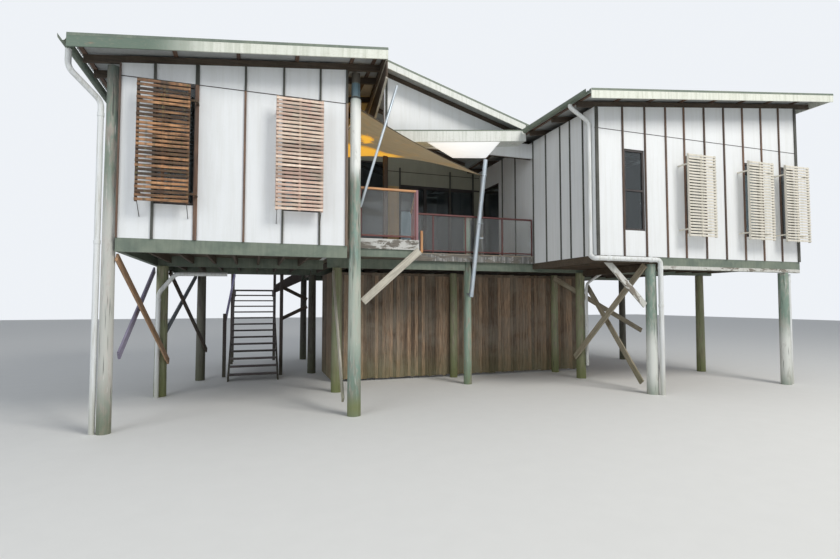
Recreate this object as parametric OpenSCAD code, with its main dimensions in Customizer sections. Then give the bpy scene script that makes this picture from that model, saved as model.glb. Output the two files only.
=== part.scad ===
// Stilt house: a U-shaped timber pole house on tall round poles.
// Two sheeted wings stand either side of a roofed deck, with a carport below.
// X runs along the front to the right, Y runs to the back, Z is up.
// The origin is on the lowest ground, at the foot of the front pole.

/* [Levels] */
// Top of the steel floor beams, where the walls start
floor_z = 3000; // [2700:10:3300]
// Depth of the steel floor beams
beam_h = 215; // [180:5:260]
// Walking level of the deck boards
deck_z = 3180; // [3120:5:3220]
// Height of window and door heads
head_z = 5540; // [5300:10:5600]

/* [Poles] */
// Diameter of the round timber poles
pole_d = 230; // [200:5:250]
// Distance from a wing's front wall to the first row of poles
front_y = -120; // [-160:5:-100]
// Second row of poles, under the deck edge
row2_y = 2450; // [2300:10:2600]
// Third row of poles, behind the paling screen
row3_y = 3680; // [3600:10:3720]
// Row of poles under the back of the left wing
row4_y = 5700; // [5500:10:5780]
// Last row of poles, under the back wall
row5_y = 9300; // [9000:10:9400]

/* [Left wing] */
// Outside face of the left wing's left wall
lw_x0 = -3730; // [-3800:10:-3600]
// Outside face of the left wing's right wall
lw_x1 = -140; // [-180:5:-135]
// Outside face of the left wing's back wall
lw_y1 = 5880; // [5500:10:6200]
// Wall height at the left wing's low side
lw_wall_h = 2748; // [2600:4:2900]

/* [Right wing] */
// Outside face of the right wing's left wall
rw_x0 = 5120; // [5000:10:5300]
// Outside face of the right wing's right wall
rw_x1 = 11160; // [10900:10:11400]
// Outside face of the house's back wall
back_y = 9480; // [9200:10:9600]
// Wall height at the right wing's low side
rw_wall_h = 3165; // [3100:5:3200]

/* [Main room] */
// Front face of the wall with the sliding doors
door_wall_y = 5500; // [5300:10:5600]
// Left face of the clerestory above the main room
clere_x = 1160; // [1000:10:1300]
// Top of the clerestory wall at its high corner
clere_z = 7318; // [7250:2:7400]

/* [Deck] */
// Front edge of the walkway beside the front pole
strip_y = 90; // [60:5:200]
// Right end of the walkway's front edge
strip_x1 = 1270; // [1100:10:1400]
// Front edge of the recessed deck
deck_y = 2330; // [2200:10:2400]
// Left end of the recessed deck's front edge
deck_x0 = 1840; // [1700:10:1980]
// Height of the railings above the deck boards
rail_h = 960; // [900:10:1100]

/* [Roofs] */
// Pitch of both wing roofs
wing_pitch = 6.7; // [6:0.1:7.5]
// Pitch of the roof over the deck and main room
main_pitch = 16.6; // [16:0.1:17]
// Overhang of the wing roofs in front of the walls
eave_y = 500; // [400:10:600]
// Overhang of the wing roofs past the side walls
eave_x = 560; // [500:10:600]
// Depth of the rafters
rafter_h = 120; // [100:5:140]

/* [Hidden] */
$fn = 40;
wall_t = 100;
beam_w = 80;
sheet_t = 20;
fascia_h = 200;
fascia_t = 25;
purlin_h = 40;
joist_w = 45;
joist_h = 150;
floor_t = 25;
gap = 1;

beam_z = floor_z - beam_h;
wing_run = tan(wing_pitch);
main_run = tan(main_pitch);
lw_z0 = floor_z + lw_wall_h;
rw_z0 = floor_z + rw_wall_h;
lw_y0 = front_y;
rw_y0 = front_y;
rail_z = deck_z + rail_h;
roof_build = rafter_h + purlin_h;

left_x = lw_x0 - 110;
front_x = 20;
mid_x = 3340;
mid_y = row2_y + 80;
right_x = 6640;
back_x = 6590;
far_x = rw_x1 - 440;
pole_top = 2845;
bay_x = 6765;
edge_h = 270;

// Height of a wing's wall top at x
function lw_top(x) = lw_z0 + (x - lw_x0) * wing_run;
function rw_top(x) = rw_z0 + (x - rw_x0) * wing_run;
// Height of the main roof's rafter underside at x
function main_top(x) = clere_z - (x - clere_x) * main_run;

// Box from one corner to the other
module block(a, b) {
    translate(a)
        cube(b - a);
}

// Extrudes an outline drawn in X and Z from y0 to y1
module slab_xz(y0, y1, points) {
    translate([0, y1, 0])
        rotate([90, 0, 0])
            linear_extrude(height = y1 - y0)
                polygon(points);
}

// Square bar from a to b, w wide and h deep
module bar(a, b, w, h) {
    d = b - a;
    len = norm(d);
    flat = norm([d[0], d[1]]);
    translate(a)
        rotate([0, atan2(flat, d[2]), atan2(d[1], d[0])])
            translate([-h / 2, -w / 2, 0])
                cube([h, w, len]);
}

// Round bar from a to b
module rod(a, b, dia) {
    d = b - a;
    flat = norm([d[0], d[1]]);
    translate(a)
        rotate([0, atan2(flat, d[2]), atan2(d[1], d[0])])
            cylinder(h = norm(d), d = dia);
}

// Round pole, thicker at its foot
module pole(x, y, z_top, foot = pole_d + 15, head = pole_d - 15) {
    translate([x, y, 0])
        cylinder(h = z_top, d1 = foot, d2 = head);
}

// Steel channel along X, its web at the front and flanges behind
module channel_x(x0, x1, y, z0 = beam_z, h = beam_h) {
    flange = 12;
    block([x0, y, z0], [x1, y + 10, z0 + h]);
    block([x0, y + 9, z0], [x1, y + beam_w, z0 + flange]);
    block([x0, y + 9, z0 + h - flange], [x1, y + beam_w, z0 + h]);
}

// Steel channel along Y, its web on the side given by face
module channel_y(y0, y1, x, face = 1) {
    flange = 12;
    x_web = face > 0 ? x - 10 : x;
    x_fl = face > 0 ? x - beam_w : x + 9;
    block([x_web, y0, beam_z], [x_web + 10, y1, floor_z]);
    block([x_fl, y0, beam_z], [x_fl + beam_w - 9, y1, beam_z + flange]);
    block([x_fl, y0, floor_z - flange], [x_fl + beam_w - 9, y1, floor_z]);
}

// Poles
module front_poles() {
    color("darkseagreen") {
        pole(left_x, 0, lw_top(left_x - 120) - 4, 215, 180);
        pole(right_x, 0, pole_top, 260, 225);
        pole(far_x, 0, floor_z - edge_h - 3, 240, 225);
        translate([front_x, 0, 0])
            cylinder(h = 2800, d1 = 250, d2 = 222);
        translate([front_x, 0, 2800])
            cylinder(h = 1200, d1 = 222, d2 = 197);
        translate([front_x, 0, 4000])
            cylinder(h = 1720, d = 197);
        translate([front_x, 0, 5720])
            cylinder(h = lw_top(-80) - 5724, d = 168);
    }
}

// Mossy poles under the deck, one of them rising through its boards
module carport_poles() {
    color("olivedrab") {
        pole(-3560, 3100, beam_z - 1, 255, 240);
        pole(92, row2_y, beam_z - 1);
        pole(mid_x, mid_y, 4150, 210, 180);
        pole(back_x, row2_y, beam_z - 1, 255, 240);
        pole(far_x, row2_y, beam_z - 1);
        pole(mid_x + 100, row3_y, beam_z - 1, 215, 200);
        pole(right_x - 40, row3_y, beam_z - 1, 215, 200);
    }
}

module back_poles() {
    color("dimgray") {
        pole(-2970, 5240, pole_top);
        pole(-100, row4_y, beam_z - 1);
        for (x = [mid_x, right_x, far_x])
            pole(x, row4_y, beam_z - 1);
        for (x = [0, mid_x, right_x, far_x])
            pole(x, row5_y, beam_z - 1);
    }
}

// Floor beams
module left_wing_beams() {
    color("darkslategray") {
        channel_x(lw_x0, lw_x1 - gap, lw_y0);
        channel_x(lw_x0 + beam_w + gap, lw_x1 - gap, 3060);
        channel_x(lw_x0, lw_x1 - gap, 5800);
        channel_y(lw_y0 + beam_w + gap, 5800 - gap, lw_x0, -1);
    }
}

module deck_beams() {
    color("darkslategray") {
        channel_x(lw_x1 + gap, mid_x - 105, row2_y - 40);
        channel_x(mid_x + 105, right_x - 20, row2_y - 40);
        channel_x(130, strip_x1 - 60, strip_y + 30, beam_z + 60, beam_h - 60);
        channel_x(lw_x1 + gap, rw_x0 + 30 - gap, row4_y - 40);
        channel_x(lw_x1 + gap, rw_x0 + 30 - gap, row5_y - 40);
    }
}

module right_wing_beams() {
    color("darkslategray") {
        channel_x(right_x - 20 + gap, rw_x1, row2_y - 40);
        channel_x(bay_x + 15, rw_x1, rw_y0 + 10, floor_z - edge_h, edge_h);
        channel_x(rw_x0 + 30, rw_x1, row4_y - 40);
        channel_x(rw_x0 + 30, rw_x1, row5_y - 40);
    }
}

// Joists run from front to back, but from side to side in the corner bay, which overhangs
module floor_joists() {
    z0 = floor_z - joist_h;
    color("saddlebrown") {
        for (x = [lw_x0 + 300 : 450 : lw_x1 - 200])
            for (y = [[lw_y0 + beam_w + 12, 3060 - 6], [3060 + beam_w + 12, 5800 - 6]])
                block([x, y[0], z0], [x + joist_w, y[1], floor_z - 1]);
        for (x = [lw_x1 + 150 : 450 : rw_x0 - 150])
            block([x, row2_y + 60, z0], [x + joist_w, row4_y - 60, floor_z - 1]);
        for (x = [bay_x + 35 : 600 : rw_x1 - 60])
            block([x, rw_y0 + beam_w + 22, z0], [x + joist_w, row2_y - 46, floor_z - 1]);
        for (x = [rw_x0 + 70 : 600 : rw_x1 - 60])
            for (y = [[row2_y + 60, row4_y - 60], [row4_y + 60, row5_y - 60]])
                block([x, y[0], z0], [x + joist_w, y[1], floor_z - 1]);
        for (x = [lw_x1 + 150 : 600 : rw_x0 - 150])
            block([x, row4_y + 60, z0], [x + joist_w, row5_y - 60, floor_z - 1]);
    }
    color("peru") {
        block([rw_x0, rw_y0 + 5, z0], [rw_x0 + joist_w, row2_y - 46, floor_z - 1]);
        for (y = [rw_y0 + 5, 330, 780, 1230, 1680, 2130])
            block([rw_x0 + joist_w + gap, y, z0], [bay_x, y + joist_w, floor_z - 1]);
        block([right_x - 50, 140, z0 - 150], [right_x + 30, row2_y - 135, z0 - gap]);
    }
}

// Floors
module left_wing_floor() {
    color("burlywood")
        block([lw_x0 + wall_t, lw_y0 + wall_t, floor_z], [lw_x1 - wall_t, lw_y1 - wall_t, floor_z + floor_t]);
}

module deck_floor() {
    color("tan")
        translate([0, 0, deck_z - 25])
            linear_extrude(height = 25)
                difference() {
                    union() {
                        polygon([
                            [lw_x1 + 2, 140], [128, 140], [130, strip_y + 26], [strip_x1 - 20, strip_y + 26],
                            [deck_x0 - 20, deck_y + 27], [lw_x1 + 2, deck_y + 27]
                        ]);
                        translate([lw_x1 + 2, deck_y + 28])
                            square([rw_x0 - lw_x1 - 4, door_wall_y - deck_y - 30]);
                    }
                    translate([mid_x, mid_y])
                        circle(d = 215);
                }
}

module right_wing_floor() {
    color("burlywood")
        block([rw_x0 + wall_t, rw_y0 + wall_t, floor_z], [rw_x1 - wall_t, back_y - wall_t, floor_z + floor_t]);
}

module main_floor() {
    color("burlywood")
        block([lw_x1 + wall_t + gap, door_wall_y + wall_t + gap, floor_z],
              [rw_x0 - gap, back_y - wall_t - gap, floor_z + floor_t]);
}

// Walls. A window is cut as [x0, x1, z0, z1] or [y0, y1, z0, z1]
sill_z = 3560;
lw_windows = [[-3230, -2610, sill_z, head_z], [-1250, -630, sill_z, head_z]];
tall_window = [5880, 6420, sill_z, 5340];
rw_windows = [tall_window, [7580, 8120, sill_z, 5340], [9380, 9920, sill_z, 5340], [10580, 11040, sill_z, 5340]];
lw_side_windows = [[1200, 2400, 3900, head_z], [3600, 4800, 3900, head_z]];
lw_back_windows = [[-3230, -2610, 3900, head_z], [-1250, -630, 3900, head_z]];
rw_side_windows = [[900, 2100, 3900, head_z], [4000, 5200, 3900, head_z], [7000, 8200, 3900, head_z]];
back_windows = [[600, 1800, 3900, head_z], [3000, 4200, 3900, head_z]];
rw_back_windows = [[5900, 7100, 3900, head_z], [8500, 9700, 3900, head_z]];
left_door = [3900, 4800, 3190, head_z];
right_door = [4250, 5350, 3190, head_z];
stair_door = [8450, 9250, 3040, 5200];
tall_light = [1230, 2050, 3190, 6200];
doors = [2450, 4900, 3190, 5510];

module cut_x(y0, y1, list) {
    for (w = list)
        block([w[0], y0 - 5, w[2]], [w[1], y1 + 5, w[3]]);
}

module cut_y(x0, x1, list) {
    for (w = list)
        block([x0 - 5, w[0], w[2]], [x1 + 5, w[1], w[3]]);
}

module left_front_wall() {
    color("white")
        difference() {
            slab_xz(lw_y0, lw_y0 + wall_t, [
                [lw_x0, floor_z], [lw_x1, floor_z], [lw_x1, lw_top(lw_x1)], [lw_x0, lw_top(lw_x0)]
            ]);
            cut_x(lw_y0, lw_y0 + wall_t, lw_windows);
        }
}

module left_back_wall() {
    color("white")
        difference() {
            slab_xz(lw_y1 - wall_t, lw_y1, [
                [lw_x0, floor_z], [lw_x1, floor_z], [lw_x1, lw_top(lw_x1)], [lw_x0, lw_top(lw_x0)]
            ]);
            cut_x(lw_y1 - wall_t, lw_y1, lw_back_windows);
        }
}

module left_side_wall() {
    color("white")
        difference() {
            block([lw_x0, lw_y0 + wall_t + gap, floor_z],
                  [lw_x0 + wall_t, lw_y1 - wall_t - gap, lw_top(lw_x0)]);
            cut_y(lw_x0, lw_x0 + wall_t, lw_side_windows);
        }
}

module left_inner_wall() {
    x0 = lw_x1 - wall_t;
    color("white")
        difference() {
            block([x0, lw_y0 + wall_t + gap, floor_z], [lw_x1, lw_y1 - wall_t - gap, lw_top(x0)]);
            cut_y(x0, lw_x1, [left_door]);
        }
}

module right_front_wall() {
    color("white")
        difference() {
            slab_xz(rw_y0, rw_y0 + wall_t, [
                [rw_x0, floor_z], [rw_x1, floor_z], [rw_x1, rw_top(rw_x1)], [rw_x0, rw_top(rw_x0)]
            ]);
            cut_x(rw_y0, rw_y0 + wall_t, rw_windows);
        }
}

module right_inner_wall() {
    color("white")
        difference() {
            block([rw_x0, rw_y0 + wall_t + gap, floor_z],
                  [rw_x0 + wall_t, back_y - wall_t - gap, rw_top(rw_x0)]);
            cut_y(rw_x0, rw_x0 + wall_t, [right_door]);
        }
}

module right_side_wall() {
    x0 = rw_x1 - wall_t;
    color("white")
        difference() {
            block([x0, rw_y0 + wall_t + gap, floor_z], [rw_x1, back_y - wall_t - gap, rw_top(x0)]);
            cut_y(x0, rw_x1, rw_side_windows);
        }
}

module right_back_wall() {
    color("white")
        difference() {
            slab_xz(back_y - wall_t, back_y, [
                [rw_x0, floor_z], [rw_x1, floor_z], [rw_x1, rw_top(rw_x1)], [rw_x0, rw_top(rw_x0)]
            ]);
            cut_x(back_y - wall_t, back_y, rw_back_windows);
        }
}

// Panels of wall side by side, each [x0, x1, bottom, top at x0, top at x1]
module wall_panels(y, t, list) {
    for (p = list)
        slab_xz(y, y + t, [
            [p[0] + gap / 2, p[2]], [p[1] - gap / 2, p[2]], [p[1] - gap / 2, p[4]], [p[0] + gap / 2, p[3]]
        ]);
}

valley_x = 4640;
valley_z = rw_top(valley_x - 20) - 20;

// Wall tops under the main roof, left and right of the clerestory
function step_top(x) = x < clere_x ? lw_top(x) : min(main_top(x), x < valley_x ? 99999 : valley_z);

module door_wall() {
    t = tall_light;
    d = doors;
    end = rw_x0 - gap;
    color("tan")
        wall_panels(door_wall_y, wall_t, [
            [lw_x1 + gap, clere_x, floor_z, lw_top(lw_x1), lw_top(clere_x)],
            [clere_x, t[0], floor_z, main_top(clere_x), main_top(t[0])],
            [t[0], t[1], floor_z, t[2], t[2]],
            [t[0], t[1], t[3], main_top(t[0]), main_top(t[1])],
            [t[1], d[0], floor_z, main_top(t[1]), main_top(d[0])],
            [d[0], d[1], floor_z, d[2], d[2]],
            [d[0], valley_x, d[3], main_top(d[0]), main_top(valley_x)],
            [valley_x, d[1], d[3], valley_z, valley_z],
            [d[1], end, floor_z, valley_z, valley_z]
        ]);
}

module main_back_wall() {
    end = rw_x0 - gap;
    y = back_y - wall_t;
    color("white") {
        difference() {
            block([lw_x1, y, floor_z], [end, back_y, valley_z - gap]);
            cut_x(y, back_y, back_windows);
        }
        wall_panels(y, wall_t, [
            [lw_x1, clere_x, valley_z, lw_top(lw_x1), lw_top(clere_x)],
            [clere_x, valley_x, valley_z, main_top(clere_x), main_top(valley_x)]
        ]);
    }
}

module main_side_wall() {
    color("white")
        difference() {
            block([lw_x1, lw_y1 + gap, floor_z], [lw_x1 + wall_t, back_y - wall_t - gap, lw_top(lw_x1)]);
            cut_y(lw_x1, lw_x1 + wall_t, [stair_door]);
        }
}

module gable_wall() {
    color("white")
        wall_panels(deck_y, 60, [
            [clere_x, valley_x, 5720, main_top(clere_x), main_top(valley_x)],
            [valley_x, rw_x0 - gap, 5720, valley_z, valley_z]
        ]);
}

module clerestory_wall() {
    color("white")
        block([clere_x, door_wall_y + wall_t + gap, lw_top(clere_x) + 2],
              [clere_x + 60, back_y - wall_t - gap, main_top(clere_x + 60) - 2]);
}

module gable_post() {
    color("saddlebrown") {
        block([clere_x, deck_y + 61, deck_z], [clere_x + 90, deck_y + 151, main_top(clere_x + 90) - 2]);
        block([clere_x + 91, deck_y + 61, 5720], [rw_x0 - 2, deck_y + 151, 5880]);
    }
}

// Window frames, 45 wide bars round each opening
module frame_x(w, y, t = 60) {
    f = 45;
    translate([0, y, 0])
        difference() {
            block([w[0], 0, w[2]], [w[1], t, w[3]]);
            block([w[0] + f, -1, w[2] + f], [w[1] - f, t + 1, w[3] - f]);
        }
}

module frame_y(w, x, t = 60) {
    f = 45;
    translate([x, 0, 0])
        difference() {
            block([0, w[0], w[2]], [t, w[1], w[3]]);
            block([-1, w[0] + f, w[2] + f], [t + 1, w[1] - f, w[3] - f]);
        }
}

module window_frames() {
    color("saddlebrown") {
        for (w = lw_windows)
            frame_x(w, lw_y0 + 20);
        for (w = rw_windows)
            frame_x(w, rw_y0 + 20);
        block([tall_window[0] + 40, rw_y0 + 20, 4420], [tall_window[1] - 40, rw_y0 + 42, 4460]);
        for (w = lw_back_windows)
            frame_x(w, lw_y1 - 80);
        for (w = concat(back_windows, rw_back_windows))
            frame_x(w, back_y - 80);
        for (w = lw_side_windows)
            frame_y(w, lw_x0 + 20);
        for (w = rw_side_windows)
            frame_y(w, rw_x1 - 80);
    }
}

module pane_x(w, y) {
    block([w[0] + 45, y, w[2] + 45], [w[1] - 45, y + 6, w[3] - 45]);
}

module pane_y(w, x) {
    block([x, w[0] + 45, w[2] + 45], [x + 6, w[1] - 45, w[3] - 45]);
}

module window_glass() {
    color("lightblue") {
        for (w = lw_windows)
            pane_x(w, lw_y0 + 45);
        for (w = rw_windows)
            pane_x(w, rw_y0 + 45);
        for (w = lw_back_windows)
            pane_x(w, lw_y1 - 55);
        for (w = concat(back_windows, rw_back_windows))
            pane_x(w, back_y - 55);
        for (w = lw_side_windows)
            pane_y(w, lw_x0 + 45);
        for (w = rw_side_windows)
            pane_y(w, rw_x1 - 55);
    }
}

// Sliding door leaves, three across the deck wall, and the single glazed doors
leaf_w = (doors[1] - doors[0]) / 3;
deck_leaves = [for (i = [0 : 2]) [doors[0] + i * leaf_w + gap, doors[0] + (i + 1) * leaf_w, doors[2], doors[3]]];

module door_frames() {
    color("darkslategray") {
        for (w = concat(deck_leaves, [tall_light]))
            frame_x(w, door_wall_y + 20);
        frame_y(left_door, lw_x1 - 80);
        frame_y(right_door, rw_x0 + 20);
        frame_y(stair_door, lw_x1 + 20);
    }
}

module door_glass() {
    color("lightblue") {
        for (w = concat(deck_leaves, [tall_light]))
            pane_x(w, door_wall_y + 45);
        pane_y(left_door, lw_x1 - 55);
        pane_y(right_door, rw_x0 + 45);
        pane_y(stair_door, lw_x1 + 45);
    }
}

// Slatted sun screens standing off the front wall
slat_pitch = 66;

module slat_screen(x0, x1, z0, z1, y, reach = 0) {
    block([x0, y, z0], [x0 + 40, y + 40, z1]);
    block([x1 - 40, y, z0], [x1, y + 40, z1]);
    block([(x0 + x1) / 2 - 20, y, z0], [(x0 + x1) / 2 + 20, y + 40, z1]);
    for (z = [z0 + 10 : slat_pitch : z1 - 45])
        block([x0, y - 18, z], [x1, y + 1, z + 42]);
    for (z = [z0 + 150, z1 - 250]) {
        block([x0, y + 39, z], [x0 + 40, front_y - gap, z + 40]);
        block([x1 - 40, y + 39, z], [x1 + reach, y + 79, z + 40]);
        block([x1 + reach - 40, y + 39, z], [x1 + reach, front_y - gap, z + 40]);
    }
}

module left_screen() {
    color("peru")
        slat_screen(-3440, -2685, 3540, 5440, front_y - 240, 110);
}

module right_screen() {
    color("burlywood")
        slat_screen(-1380, -595, 3530, 5450, front_y - 240);
}

module white_screens() {
    color("whitesmoke")
        for (x = [[7350, 8150], [9150, 9950], [10340, 11140]])
            slat_screen(x[0], x[1], 3450, 5300, front_y - 290);
}

// Wing roofs: rafters along X, purlins along Y, then sheet, all on one pitch
lr_x0 = lw_x0 - eave_x;
lr_x1 = lw_x1 + 560;
rr_x0 = rw_x0 - 460;
rr_x1 = rw_x1 + 560;
roof_y0 = front_y - eave_y;

// Strip along the left or right wing's pitch, from low to high above the wall tops
module left_strip(y0, y1, low, high, x0 = lr_x0, x1 = lr_x1) {
    slab_xz(y0, y1, [
        [x0, lw_top(x0) + low], [x1, lw_top(x1) + low], [x1, lw_top(x1) + high], [x0, lw_top(x0) + high]
    ]);
}

// Outer face of the left roof's right verge, which flares out towards the deck
verge_y1 = 2300;
verge_flare = 0.0985;
function verge_x(y) = lr_x1 + 40 + (y - roof_y0 + fascia_t) * verge_flare;

// Strip along that verge, between two distances in from its outer face
module verge_strip(low, high, inner, outer) {
    intersection() {
        left_strip(roof_y0, verge_y1, low, high, 300, 900);
        translate([0, 0, 5500])
            linear_extrude(height = 1500)
                polygon([
                    [verge_x(roof_y0) - inner, roof_y0], [verge_x(roof_y0) - outer, roof_y0],
                    [verge_x(verge_y1) - outer, verge_y1], [verge_x(verge_y1) - inner, verge_y1]
                ]);
    }
}

module right_strip(y0, y1, low, high, x0 = rr_x0, x1 = rr_x1) {
    slab_xz(y0, y1, [
        [x0, rw_top(x0) + low], [x1, rw_top(x1) + low], [x1, rw_top(x1) + high], [x0, rw_top(x0) + high]
    ]);
}

module wing_rafters() {
    color("saddlebrown") {
        for (y = [lw_y0 + 10, 440, 1390])
            left_strip(y, y + 50, 0, rafter_h - gap, lr_x0 + 60, verge_x(y) - 73);
        for (y = [2340, 3290, 4240, 5190, lw_y1 - 60])
            left_strip(y, y + 50, 0, rafter_h - gap, lr_x0 + 60, lr_x1 - 40);
        verge_strip(0, rafter_h - gap, 71, 26);
        for (y = [rw_y0 + 10, 830, 1780, 2730, 3680, 4630, 5580, 6530, 7480, 8430, back_y - 60])
            right_strip(y, y + 50, 0, rafter_h - gap, rr_x0 + 60, rr_x1 - 40);
        left_strip(door_wall_y + 30, door_wall_y + 80, 0, rafter_h - gap, 470, clere_x - 2);
        for (y = [6500, 7500, 8500, back_y - 70])
            left_strip(y, y + 50, 0, rafter_h - gap, -380, clere_x - 2);
    }
}

module left_roof() {
    y1 = lw_y1 + 400;
    color("gainsboro") {
        left_strip(roof_y0, y1, roof_build, roof_build + sheet_t);
        intersection() {
            left_strip(roof_y0, verge_y1, roof_build, roof_build + sheet_t, lr_x1 - 5, 900);
            translate([0, 0, 5500])
                linear_extrude(height = 1500)
                    polygon([
                        [lr_x1 - 5, roof_y0], [verge_x(roof_y0) - 26, roof_y0],
                        [verge_x(verge_y1) - 26, verge_y1], [lr_x1 - 5, verge_y1]
                    ]);
        }
        for (x = [lr_x0 + 50, -2970, -2020, -1070, -120, 280])
            left_strip(roof_y0 + 30, y1 - 20, rafter_h, roof_build + 1, x, x + 60);
    }
}

module right_roof() {
    y1 = back_y + 400;
    color("gainsboro") {
        right_strip(roof_y0, y1, roof_build, roof_build + sheet_t);
        for (x = [rr_x0 + 120 : 900 : rr_x1 - 60])
            right_strip(roof_y0 + 30, y1 - 20, rafter_h, roof_build + 1, x, x + 60);
    }
}

// Low roof joining the left wing's roof to the foot of the clerestory
module link_roof() {
    color("gainsboro") {
        left_strip(5200, lw_y1 + 428, roof_build, roof_build + sheet_t, 470, 1095);
        left_strip(lw_y1 + 430, back_y + 400, roof_build, roof_build + sheet_t, -400, 1095);
    }
}

module wing_fascias() {
    top = roof_build + sheet_t;
    color("white") {
        left_strip(roof_y0 - fascia_t - gap, roof_y0 - gap, top - fascia_h, top, lr_x0, lr_x1 + 40);
        verge_strip(top - 180, top, fascia_t, 0);
        left_strip(lw_y1 + 400 + gap, lw_y1 + 400 + fascia_t, top - fascia_h, top);
        block([lr_x1 + gap, verge_y1 + 2, lw_top(lr_x1) + top - 180],
              [lr_x1 + fascia_t, lw_y1 + 400, lw_top(lr_x1) + top]);
        right_strip(roof_y0 - fascia_t - gap, roof_y0 - gap, top - fascia_h, top, rr_x0, rr_x1 + fascia_t);
        right_strip(back_y + 400 + gap, back_y + 400 + fascia_t, top - fascia_h, top);
        block([rr_x1 + gap, roof_y0, rw_top(rr_x1) + top - 180],
              [rr_x1 + fascia_t, back_y + 400, rw_top(rr_x1) + top]);
    }
}

// Main roof over the deck and main room, falling to the right onto the wing's roof
main_x0 = clere_x - 28;
main_x1 = 4860;
main_y0 = deck_y - 430;
main_y1 = back_y + 400;
main_build = rafter_h + 2 + 2 * sheet_t;

module main_strip(y0, y1, low, high, x0 = main_x0, x1 = main_x1) {
    slab_xz(y0, y1, [
        [x0, main_top(x0) + low], [x1, main_top(x1) + low],
        [x1, main_top(x1) + high], [x0, main_top(x0) + high]
    ]);
}

module main_rafters() {
    color("saddlebrown")
        for (y = [deck_y + 5, 3300, 4300, door_wall_y + 20, 6500, 7500, 8500, back_y - 70])
            main_strip(y, y + 50, 0, rafter_h, main_x0 + 4, valley_x - 40);
}

module main_roof() {
    color("gainsboro")
        main_strip(main_y0, main_y1, rafter_h + 2, main_build);
}

module main_fascia() {
    x0 = main_x0 - fascia_t - gap;
    color("white") {
        for (y = [main_y0 - fascia_t - gap, main_y1 + gap]) {
            main_strip(y, y + fascia_t, main_build - 190, main_build, x0, rr_x0 - 10);
            main_strip(y, y + fascia_t, rafter_h + 2, main_build, rr_x0 - 10, main_x1);
        }
        block([x0, main_y0, main_top(main_x0) + main_build - 190],
              [main_x0 - gap, main_y1, main_top(main_x0) + main_build]);
    }
}

// Boxed hood below the gable, rising a little to the right
function hood_top(x) = 5900 + (x - 1250) * 0.11;

module hood_strip(y0, y1, low, high, x0, x1) {
    slab_xz(y0, y1, [
        [x0, hood_top(x0) + low], [x1, hood_top(x1) + low], [x1, hood_top(x1) + high], [x0, hood_top(x0) + high]
    ]);
}

module porch_hood() {
    x0 = clere_x + 20;
    x1 = rr_x0 - 10;
    color("whitesmoke")
        difference() {
            hood_strip(main_y0 - 20, deck_y - gap, -280, 0, x0, x1);
            hood_strip(main_y0 + 5, deck_y + 5, -262, -18, x0 + 25, x1 - 25);
        }
}

// Deck edge boards and railings
module deck_fascia() {
    color("lightgray")
        translate([0, 0, floor_z - 10])
            linear_extrude(height = deck_z - floor_z + 10) {
                polygon([
                    [126, strip_y], [strip_x1, strip_y], [strip_x1 - 6, strip_y + 25], [126, strip_y + 25]
                ]);
                polygon([
                    [strip_x1 + 1, strip_y + 4], [deck_x0 - 1, deck_y - 4],
                    [deck_x0 - 19, deck_y + 24], [strip_x1 - 18, strip_y + 27]
                ]);
                polygon([
                    [deck_x0, deck_y], [rw_x0 - 3, deck_y], [rw_x0 - 3, deck_y + 25], [deck_x0 - 15, deck_y + 25]
                ]);
            }
}

// Railing from a to b: two rails, and upright bars at the given shares of its length
module railing(a, b, shares) {
    top = [0, 0, rail_z - 25];
    low = [0, 0, deck_z + 60];
    bar(a + top, b + top, 60, 40);
    bar(a + low, b + low, 30, 30);
    for (t = shares) {
        p = a + (b - a) * t;
        bar(p + [0, 0, deck_z + 2], p + top, 30, 30);
    }
}

module walkway_rail() {
    color("peru") {
        railing([150, strip_y + 45, 0], [strip_x1 - 60, strip_y + 45, 0], [0, 1]);
        railing([strip_x1 - 20, strip_y + 110, 0], [deck_x0 - 20, deck_y - 20, 0], [0, 0.25, 0.5, 0.75, 1]);
        block([strip_x1 - 85, strip_y + 35, deck_z + 2], [strip_x1 - 5, strip_y + 75, rail_z + 5]);
    }
}

// Posts of the deck's front railing
post_x = [deck_x0 + 60, 2380, 3230, 4230, rw_x0 - 40];

module deck_rail() {
    color("indianred") {
        railing([post_x[0], deck_y + 48, 0], [post_x[4], deck_y + 48, 0],
                [for (x = post_x) (x - post_x[0]) / (post_x[4] - post_x[0])]);
        block([2040, deck_y - 32, deck_z + 4], [2100, deck_y - 2, 3700]);
    }
}

module rail_glass() {
    color("lightblue") {
        block([180, strip_y + 42, deck_z + 80], [strip_x1 - 90, strip_y + 48, rail_z - 50]);
        for (i = [0 : 3])
            block([post_x[i] + 20, deck_y + 45, deck_z + 80], [post_x[i + 1] - 20, deck_y + 51, rail_z - 50]);
    }
}

// Gutters and downpipes
module gutters() {
    x = lr_x0;
    z = lw_top(x) + roof_build;
    xr = rr_x0;
    zr = rw_top(xr) + roof_build;
    color("slategray") {
        difference() {
            block([x - 120, roof_y0, z - 100], [x - 2, lw_y1 + 400, z]);
            block([x - 112, roof_y0 + 8, z - 92], [x - 10, lw_y1 + 392, z + 5]);
        }
        difference() {
            block([xr - 120, roof_y0, zr - 100], [xr - 2, 1860, zr]);
            block([xr - 112, roof_y0 + 8, zr - 92], [xr - 10, 1852, zr + 5]);
        }
    }
}

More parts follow.
